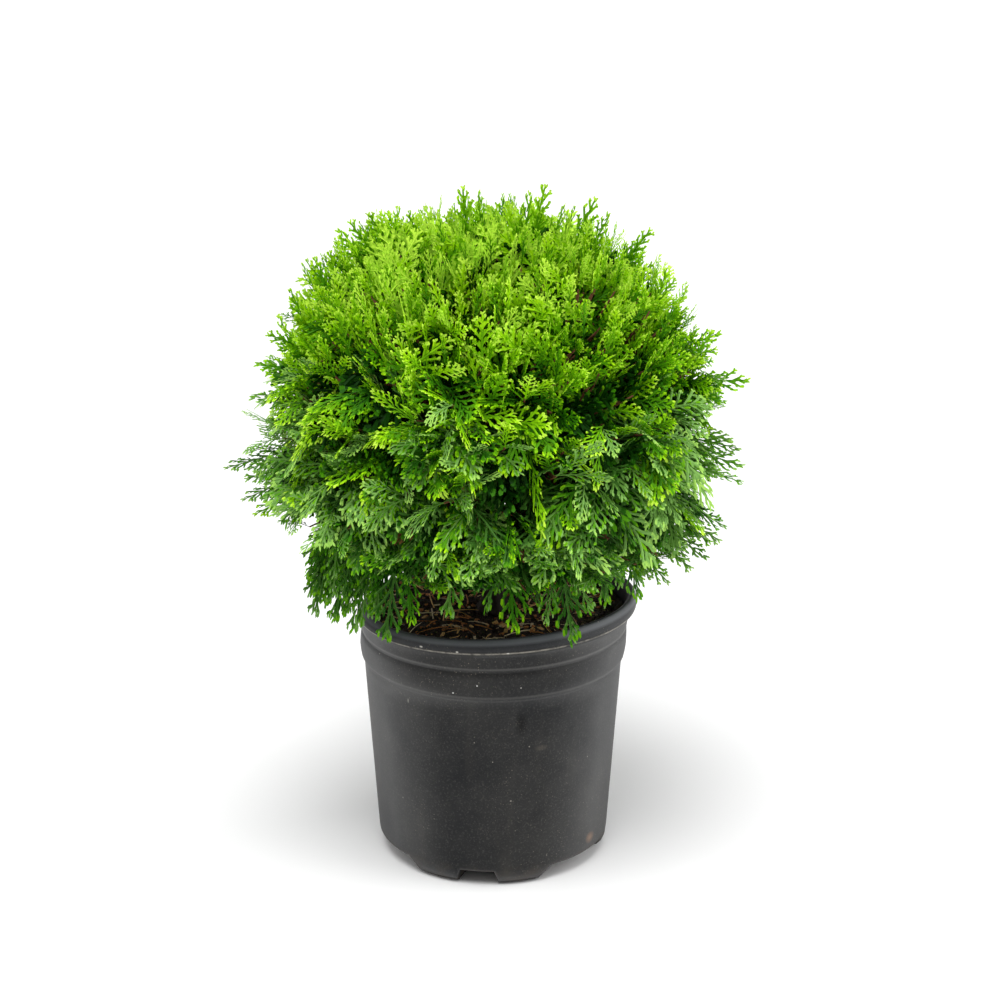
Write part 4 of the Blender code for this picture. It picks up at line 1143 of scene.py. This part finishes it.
def sprays_to_tips(tips, turns, sag, rng, kinds, size):
    """Sprays for each named tip: one that ends there and shorter ones turned beside it."""
    per = len(turns)
    tips = np.repeat(np.array(tips), per, axis=0)
    count = len(tips)
    turn = np.tile(turns, count // per)[:, None]
    away = unit(tips - UP * CROWN_CENTRE)
    main = unit(away * (1.0 - sag) - UP * sag)
    level = outward(np.arctan2(tips[:, 1], tips[:, 0]) + 0.5 * math.pi)
    aim = unit(main + (level * turn + rng.normal(0.0, 0.08, (count, 3))) * (turn != 0.0))
    length = size * np.where(turn[:, 0] == 0.0, 1.0, 0.74 * rng.uniform(0.92, 1.08, count))
    droop = sag * 0.3
    roots = tips - main * (size * 0.98) + level * turn * 0.012 + UP * (droop * length)[:, None]
    ahead = np.where(np.abs(aim[:, 1:2]) < 0.7, np.array((0.0, -1.0, 0.2)), np.array((1.0, 0.0, 0.2)))
    side = unit(np.cross(aim, ahead))
    roll = rng.normal(0.0, 0.45, (count, 1))
    side = unit(side * np.cos(roll) + np.cross(aim, side) * np.sin(roll))
    return {
        "root": roots, "aim": aim, "side": side, "length": length, "droop": np.full(count, droop),
        "cup": rng.uniform(0.0, 0.3, count), "widen": rng.uniform(0.9, 1.1, count),
        "hang": np.full(count, 0.2), "direction": away, "template": kinds + rng.integers(0, SPRAY_VARIANTS, count),
    }


def bake_sprays(templates, spray):
    """Points, triangles, tones, rib marks and shades of sprays.

    A template's point (x, y, z) goes to root + length (x aim + y side + z normal), less a sag
    of droop times x squared plus hang times y squared, and a fold of cup times y squared
    along the normal.
    """
    points, faces, tones, ribs, shades, base = [], [], [], [], [], 0
    for index, (shape, triangles, tone, rib) in enumerate(templates):
        chosen = np.flatnonzero(spray["template"] == index)
        if not len(chosen):
            continue
        x, y, z = (shape[:, axis][None, :, None] for axis in range(3))
        root, aim, side = (spray[key][chosen][:, None] for key in ("root", "aim", "side"))
        normal = np.cross(aim, side)
        length = spray["length"][chosen][:, None, None]
        droop = spray["droop"][chosen][:, None, None]
        cup, hang = (spray[key][chosen][:, None, None] for key in ("cup", "hang"))
        place = aim * x + side * y * spray["widen"][chosen][:, None, None]
        place = place + normal * (z - cup * y * y) - UP * (droop * x * x + hang * y * y)
        place = root + place * length
        offsets = base + np.arange(len(chosen))[:, None, None] * len(shape)
        points.append(place.reshape(-1, 3))
        faces.append((triangles[None] + offsets).reshape(-1, 3))
        tones.append(((tone[None] - 0.55) * TONE_RISE + spray["tone"][chosen][:, None]).ravel())
        ribs.append(np.tile(rib, len(chosen)))
        shades.append(np.repeat(spray["shade"][chosen], len(triangles)))
        base += len(chosen) * len(shape)
    return [np.concatenate(rows) for rows in (points, faces, tones, ribs, shades)]


# Camera, light and floor

def make_stage():
    """Pale floor, soft studio lights and the camera at the photograph's angle."""
    bpy.ops.mesh.primitive_plane_add(size=40.0, location=(0.0, 0.0, 0.0))
    floor = bpy.context.object
    bpy.context.scene.view_settings.view_transform = "Standard"
    floor.name = "studio_ground"
    floor.data.materials.append(floor_material())
    world = bpy.data.worlds.new("studio_light")
    bpy.context.scene.world = world
    world.use_nodes = True
    world.node_tree.nodes["Background"].inputs["Color"].default_value = (1.0, 1.0, 1.0, 1.0)
    world.node_tree.nodes["Background"].inputs["Strength"].default_value = 0.38
    add_sun("key_sun", (-0.2, -1.2, 3.0), 34.0, 2.35)
    add_sun("right_sun", (2.4, -0.1, 0.9), 60.0, 2.0)
    add_sun("left_sun", (-2.4, 0.1, 1.2), 60.0, 0.75)
    camera = bpy.data.objects.new("photo_camera", bpy.data.cameras.new("photo_camera"))
    bpy.context.scene.collection.objects.link(camera)
    camera.location = (0.007, -2.61, 1.2625)
    camera.rotation_euler = (math.radians(90.0 - 19.1), 0.0, 0.0)
    camera.data.lens = 102.86
    camera.data.sensor_width = 36.0
    camera.data.clip_start = 0.05
    bpy.context.scene.camera = camera


def add_sun(name, place, spread, strength):
    """Soft distant light that comes from a place towards the origin."""
    data = bpy.data.lights.new(name, "SUN")
    data.angle = math.radians(spread)
    data.energy = strength
    lamp = bpy.data.objects.new(name, data)
    bpy.context.scene.collection.objects.link(lamp)
    lamp.location = place
    flat = math.hypot(place[0], place[1])
    lamp.rotation_euler = (math.atan2(flat, place[2]), 0.0, math.atan2(place[0], -place[1]))


# Greens from the darkest to the lightest, dealt by tone: they carry the leaves' own colour, fresher at the tips, and
# painted light and shade.
GREENS = (
    ("leaf_shadow", (0.005, 0.038, 0.001)),
    ("leaf_deep", (0.017, 0.098, 0.002)),
    ("leaf_dusky", (0.038, 0.172, 0.002)),
    ("leaf_mid", (0.077, 0.272, 0.003)),
    ("leaf_fresh", (0.145, 0.400, 0.002)),
    ("leaf_light", (0.242, 0.555, 0.004)),
    ("leaf_bright", (0.375, 0.725, 0.006)),
    ("leaf_tip", (0.560, 0.880, 0.065)),
    ("leaf_grey_deep", (0.050, 0.150, 0.018)),
    ("leaf_grey_mid", (0.110, 0.255, 0.040)),
    ("leaf_grey_pale", (0.195, 0.400, 0.085)),
    ("leaf_grey_tip", (0.350, 0.620, 0.110)),
    ("leaf_brown", (0.170, 0.085, 0.028)),
)
TONE_RISE = 1.18
GREEN_STEPS = 8
GREY_STEPS = np.array((8, 8, 9, 9, 10, 10, 11, 11))
BROWN_STEP = 12
GREEN, PALE_RIBS, PALE_ALL, DEAD = range(4)


def deal_colours(tones, ribs, shades):
    """Slot of each triangle: a green by its tone, grey-green on pale ribs, or brown."""
    steps = np.clip((tones * GREEN_STEPS).astype(int), 0, GREEN_STEPS - 1)
    greyed = (shades == PALE_ALL) | ((shades == PALE_RIBS) & (ribs | (steps > 4)))
    steps = np.where(greyed, GREY_STEPS[steps], steps)
    return np.where(shades == DEAD, BROWN_STEP, steps)


def outer_sprays(first, rng):
    """Fans of sprays at two nodes of each twig, out to the crown's outline."""
    directions = golden_directions(TWIG_COUNT, TWIG_LOWEST)
    directions = unit(directions + rng.normal(0.0, TWIG_SCATTER, directions.shape))
    density = np.interp(directions[:, 2], *TWIG_DENSITY) + 0.12 * lumps(directions)
    density -= 0.42 * np.clip(directions[:, 0] - 0.3, 0.0, 0.5) * (directions[:, 2] < 0.0)
    directions = directions[rng.uniform(0.0, 1.0, TWIG_COUNT) < density]
    twigs, per = len(directions), len(FAN_TURNS)
    levels = rng.uniform(*TWIG_LEVELS, twigs) + LUMP_DEPTH * lumps(directions)
    ways = np.repeat(directions, per, axis=0)
    behind = np.tile(FAN_DEPTHS, twigs)
    roots = crown_points(ways, np.repeat(levels, per) * behind)
    turns = np.tile(FAN_TURNS, twigs)
    height = ways[:, 2]
    rising = np.repeat(rng.uniform(0.0, 1.0, twigs), per) < np.interp(height, *RISE_CHANCE)
    spread = np.interp(height, (0.2, 0.7), (0.40, 1.5))
    rolls = np.repeat(rng.normal(0.0, 1.0, twigs), per) * spread + rng.normal(0, 0.25, len(turns))
    zone = height + rng.normal(0.0, 0.10, len(ways))
    kinds = np.where(zone < -0.10, first["plume"], first["fan"])
    kinds = np.where(rising & (zone > 0.25), first["crest"], kinds) + rng.integers(0, SPRAY_VARIANTS, len(ways))
    outer, clear = spray_set(roots, ways, turns, rolls, rising, rng, kinds)
    # Tone: painted light and shade by height and side, painted shade in the hollows between lumps and on the sprays
    # set behind in each fan, with random scatter.
    outer["tone"] = np.interp(height, *PAINTED_LIGHT_BY_HEIGHT) + 0.04 * lumps(ways) + rng.normal(0.0, 0.09, len(ways))
    outer["tone"] -= 0.38 * (behind < 0.9) + SIDE_PAINTED_LIGHT * ways[:, 0] * np.abs(ways[:, 0])
    return {key: value[clear] for key, value in outer.items()}


def top_sprays(first, rng):
    """Thin forked sprays that stand above the dome."""
    directions = golden_directions(TOP_SPRAYS, 0.48, 2.0)
    directions = unit(directions + rng.normal(0.0, 0.06, directions.shape))
    count = len(directions)
    roots = crown_points(directions, rng.uniform(0.76, 0.84, count))
    aim = unit(directions * np.array((0.5, 0.5, 0.7)) + UP * 0.75 + rng.normal(0.0, 0.14, (count, 3)))
    turn = outward(rng.uniform(0.0, 2.0 * math.pi, count))
    side = unit(turn - aim * (turn * aim).sum(axis=1, keepdims=True))
    levels = 0.97 + rng.normal(0.0, 0.025, count)
    length = tip_reach(roots, aim, np.minimum(levels, 1.01), 0.030, 0.064)
    return {
        "root": roots, "aim": aim, "side": side, "length": length, "droop": np.zeros(count),
        "cup": np.zeros(count), "widen": rng.uniform(0.8, 1.1, count), "hang": np.zeros(count),
        "direction": directions,
        "template": first["antler"] + rng.integers(0, SPRAY_VARIANTS, count),
        "tone": 0.70 + rng.normal(0.0, 0.08, count),
    }


def inner_sprays(first, rng):
    """Simpler dark sprays that lie across the crown behind the outer ones: painted shade of the crown's inside over
    its older foliage.
    """
    directions = golden_directions(INNER_TWIGS, -0.80, 1.0)
    per = len(INNER_TURNS)
    ways = np.repeat(directions, per, axis=0)
    count = len(ways)
    roots = crown_points(ways, np.repeat(rng.uniform(*INNER_LEVELS, INNER_TWIGS), per))
    turns = np.tile(INNER_TURNS, INNER_TWIGS)
    rolls = rng.normal(0.0, 0.5, count)
    rising = rng.uniform(0.0, 1.0, count) < 0.5
    kinds = first["inner"] + rng.integers(0, SPRAY_VARIANTS, count)
    inner, clear = spray_set(roots, ways, turns, rolls, rising, rng, kinds)
    # Painted shade: the inner sprays get the darkest tones.
    inner["tone"] = 0.04 + rng.normal(0.0, 0.08, count)
    airy = (ways[:, 0] > 0.45) & (ways[:, 2] < -0.1) & (rng.uniform(0.0, 1.0, count) < 0.8)
    clear &= ~airy
    return {key: value[clear] for key, value in inner.items()}


def filling_sprays(first, rng):
    """Fans of sprays at the named places, that close hollows of the crown."""
    per = len(INNER_TURNS)
    ways = np.repeat(unit(np.array(FILLING_PLACES) - UP * CROWN_CENTRE), per, axis=0)
    count = len(ways)
    roots = crown_points(ways, np.repeat(rng.uniform(0.70, 0.80, len(FILLING_PLACES)), per))
    turns = np.tile(INNER_TURNS, len(FILLING_PLACES))
    kinds = first["fan"] + rng.integers(0, SPRAY_VARIANTS, count)
    filling, clear = spray_set(roots, ways, turns, np.zeros(count), np.full(count, False), rng, kinds)
    filling["tone"] = 0.52 + rng.normal(0.0, 0.06, count)
    return {key: value[clear] for key, value in filling.items()}


def join_sprays(groups):
    """Several sets of sprays as one."""
    return {key: np.concatenate([group[key] for group in groups]) for key in groups[0]}


def make_crown(seeds, greens, twig_bark):
    """All foliage: sprays by mass, with branches and twigs that carry them."""
    rng = np.random.default_rng(77)
    names = ("fan", "plume", "crest", "antler", "inner")
    templates = []
    for index, name in enumerate(names):
        templates += spray_templates(name, SPRAY_VARIANTS, 100 * (index + 1))
    first = {name: index * SPRAY_VARIANTS for index, name in enumerate(names)}
    groups = [outer_sprays(first, rng), inner_sprays(first, rng), top_sprays(first, rng)]
    peaks = [tip for tip in LONG_TIPS if tip[2] > 0.645]
    shoulders = [tip for tip in LONG_TIPS if 0.50 < tip[2] <= 0.645]
    wide = [tip for tip in LONG_TIPS if tip[2] <= 0.50]
    # The groups' tones follow their height as painted light and shade: lightest on the peaks, darkest on the sprays
    # that hang under the crown.
    for tips, turns, sag, kind, size, tone, widen in (
        (peaks, (0.0, 0.3, -0.3), 0.0, "antler", 0.074, 0.74, 1.0),
        (shoulders, (0.0, 0.4, -0.4), 0.04, "crest", 0.062, 0.68, 0.85),
        (wide, (0.0, 0.45, -0.45), 0.12, "crest", 0.072, 0.54, 0.78),
        (HANGING_TIPS, (0.0, 0.36, -0.36), 0.62, "plume", 0.078, 0.40, 0.90),
    ):
        group = sprays_to_tips(tips, turns, sag, rng, first[kind], size)
        group["widen"] = group["widen"] * widen
        group["tone"] = tone + rng.normal(0.0, 0.06, len(group["root"]))
        groups.append(group)
    groups.append(filling_sprays(first, np.random.default_rng(5)))
    sprays = join_sprays(groups)
    azimuth = np.arctan2(sprays["direction"][:, 1], sprays["direction"][:, 0])
    low = np.interp(sprays["direction"][:, 2], (0.02, 0.48), (1.0, 0.0))
    chance = rng.uniform(0.0, 1.0, len(azimuth))
    wholly = low * 0.24 * np.clip(np.cos(azimuth + 0.2), 0.1, 1.0)
    shade = np.where(chance < 0.88 * low, PALE_RIBS, GREEN)
    shade = np.where(chance < wholly, PALE_ALL, shade)
    deep = (crown_level(sprays["root"]) < 0.58) & (sprays["direction"][:, 2] < 0.35)
    deep &= sprays["direction"][:, 2] > -0.3
    sprays["shade"] = np.where(deep & (chance > 0.97), DEAD, shade)
    seed_points = np.stack([seed for _, _, _, seed in seeds])
    gap = np.linalg.norm(sprays["root"][:, None] - seed_points[None], axis=2)
    owner = gap.argmin(axis=1)
    for index, (name, _, _, _) in enumerate(seeds):
        mine = {key: value[owner == index] for key, value in sprays.items()}
        points, faces, *looks = bake_sprays(templates, mine)
        item = piece(f"sprays_{name}", points, faces, greens, deal_colours(*looks))
        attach(item, "root")
        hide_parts(f"foliage_{name}")
    make_twigs(seeds, sprays["root"], twig_bark, rng)


def make_twigs(seeds, targets, twig_bark, rng):
    """Branches from the boughs' hubs and twigs from the branches to each fan of sprays."""
    hubs = []
    for index, (_, ring, _, seed) in enumerate(seeds):
        if ring == "top":
            leader = trunk_centre(TRUNK_SECTIONS[-1][0])
            hubs.append((leader, np.array((seed[0], seed[1], leader[2] + TOP_HUB_RISE))))
        else:
            tip = bough_curve(index, seeds)[2]
            hubs.append((tip, crown_points(unit(seed - UP * CROWN_CENTRE)[None], np.array((HUB_LEVEL,)))[0]))
    hub_points = np.stack([hub for _, hub in hubs])
    hub_tips = np.stack([tip for tip, _ in hubs])
    branch_ways = golden_directions(BRANCH_COUNT, -0.8, 0.4)
    branch_ends = crown_points(branch_ways, np.full(BRANCH_COUNT, BRANCH_LEVEL))
    owner = np.linalg.norm(branch_ends[:, None] - hub_points[None], axis=2).argmin(axis=1)
    starts = hub_points[owner]
    middles = mix(starts, branch_ends, 0.5) - UP * 0.006
    paths = [bezier(hub_tips, mix(hub_tips, hub_points, 0.5) + UP * 0.004, hub_points, 5)]
    radii = [np.tile(np.linspace(0.0027, 0.0024, 5), (len(hubs), 1))]
    paths.append(bezier(starts, middles, branch_ends, 5))
    radii.append(np.tile(np.linspace(0.0016, 0.0011, 5), (BRANCH_COUNT, 1)))
    near = np.linalg.norm(targets[:, None] - branch_ends[None], axis=2).argmin(axis=1)
    starts = branch_ends[near]
    middles = mix(starts, targets, 0.5) - UP * 0.008 + rng.normal(0.0, 0.003, targets.shape)
    paths.append(bezier(starts, middles, targets, 5))
    radii.append(np.tile(np.linspace(0.0012, 0.0008, 5), (len(targets), 1)))
    points, faces = rods(np.concatenate(paths), np.concatenate(radii), 5)
    item = piece("crown_twigs", points, faces, [twig_bark], smooth=True)
    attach(item, "root")


def write_sizes():
    """Bring the view layer up to date."""
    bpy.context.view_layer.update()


def main():
    """Dress every node."""
    specks = speckle_group()
    bark = bark_material()
    litter = [
        plain("litter_dark", (0.022, 0.012, 0.007), 0.9),
        plain("litter_rust", (0.420, 0.170, 0.050), 0.85),
        plain("litter_straw", (0.620, 0.380, 0.140), 0.8),
        plain("litter_pale", (0.620, 0.500, 0.320), 0.8),
    ]
    greens = [plain(name, colour, 0.50, 0.08) for name, colour in GREENS]
    seeds = mass_seeds()
    make_stage()
    make_pot(pot_material(specks))
    make_soil(soil_material(specks))
    make_litter(litter)
    make_trunk(bark)
    make_boughs(seeds, bark)
    make_crown(seeds, greens, plain("twig_reddish", (0.150, 0.056, 0.024), 0.8, 0.3))
    write_sizes()


main()
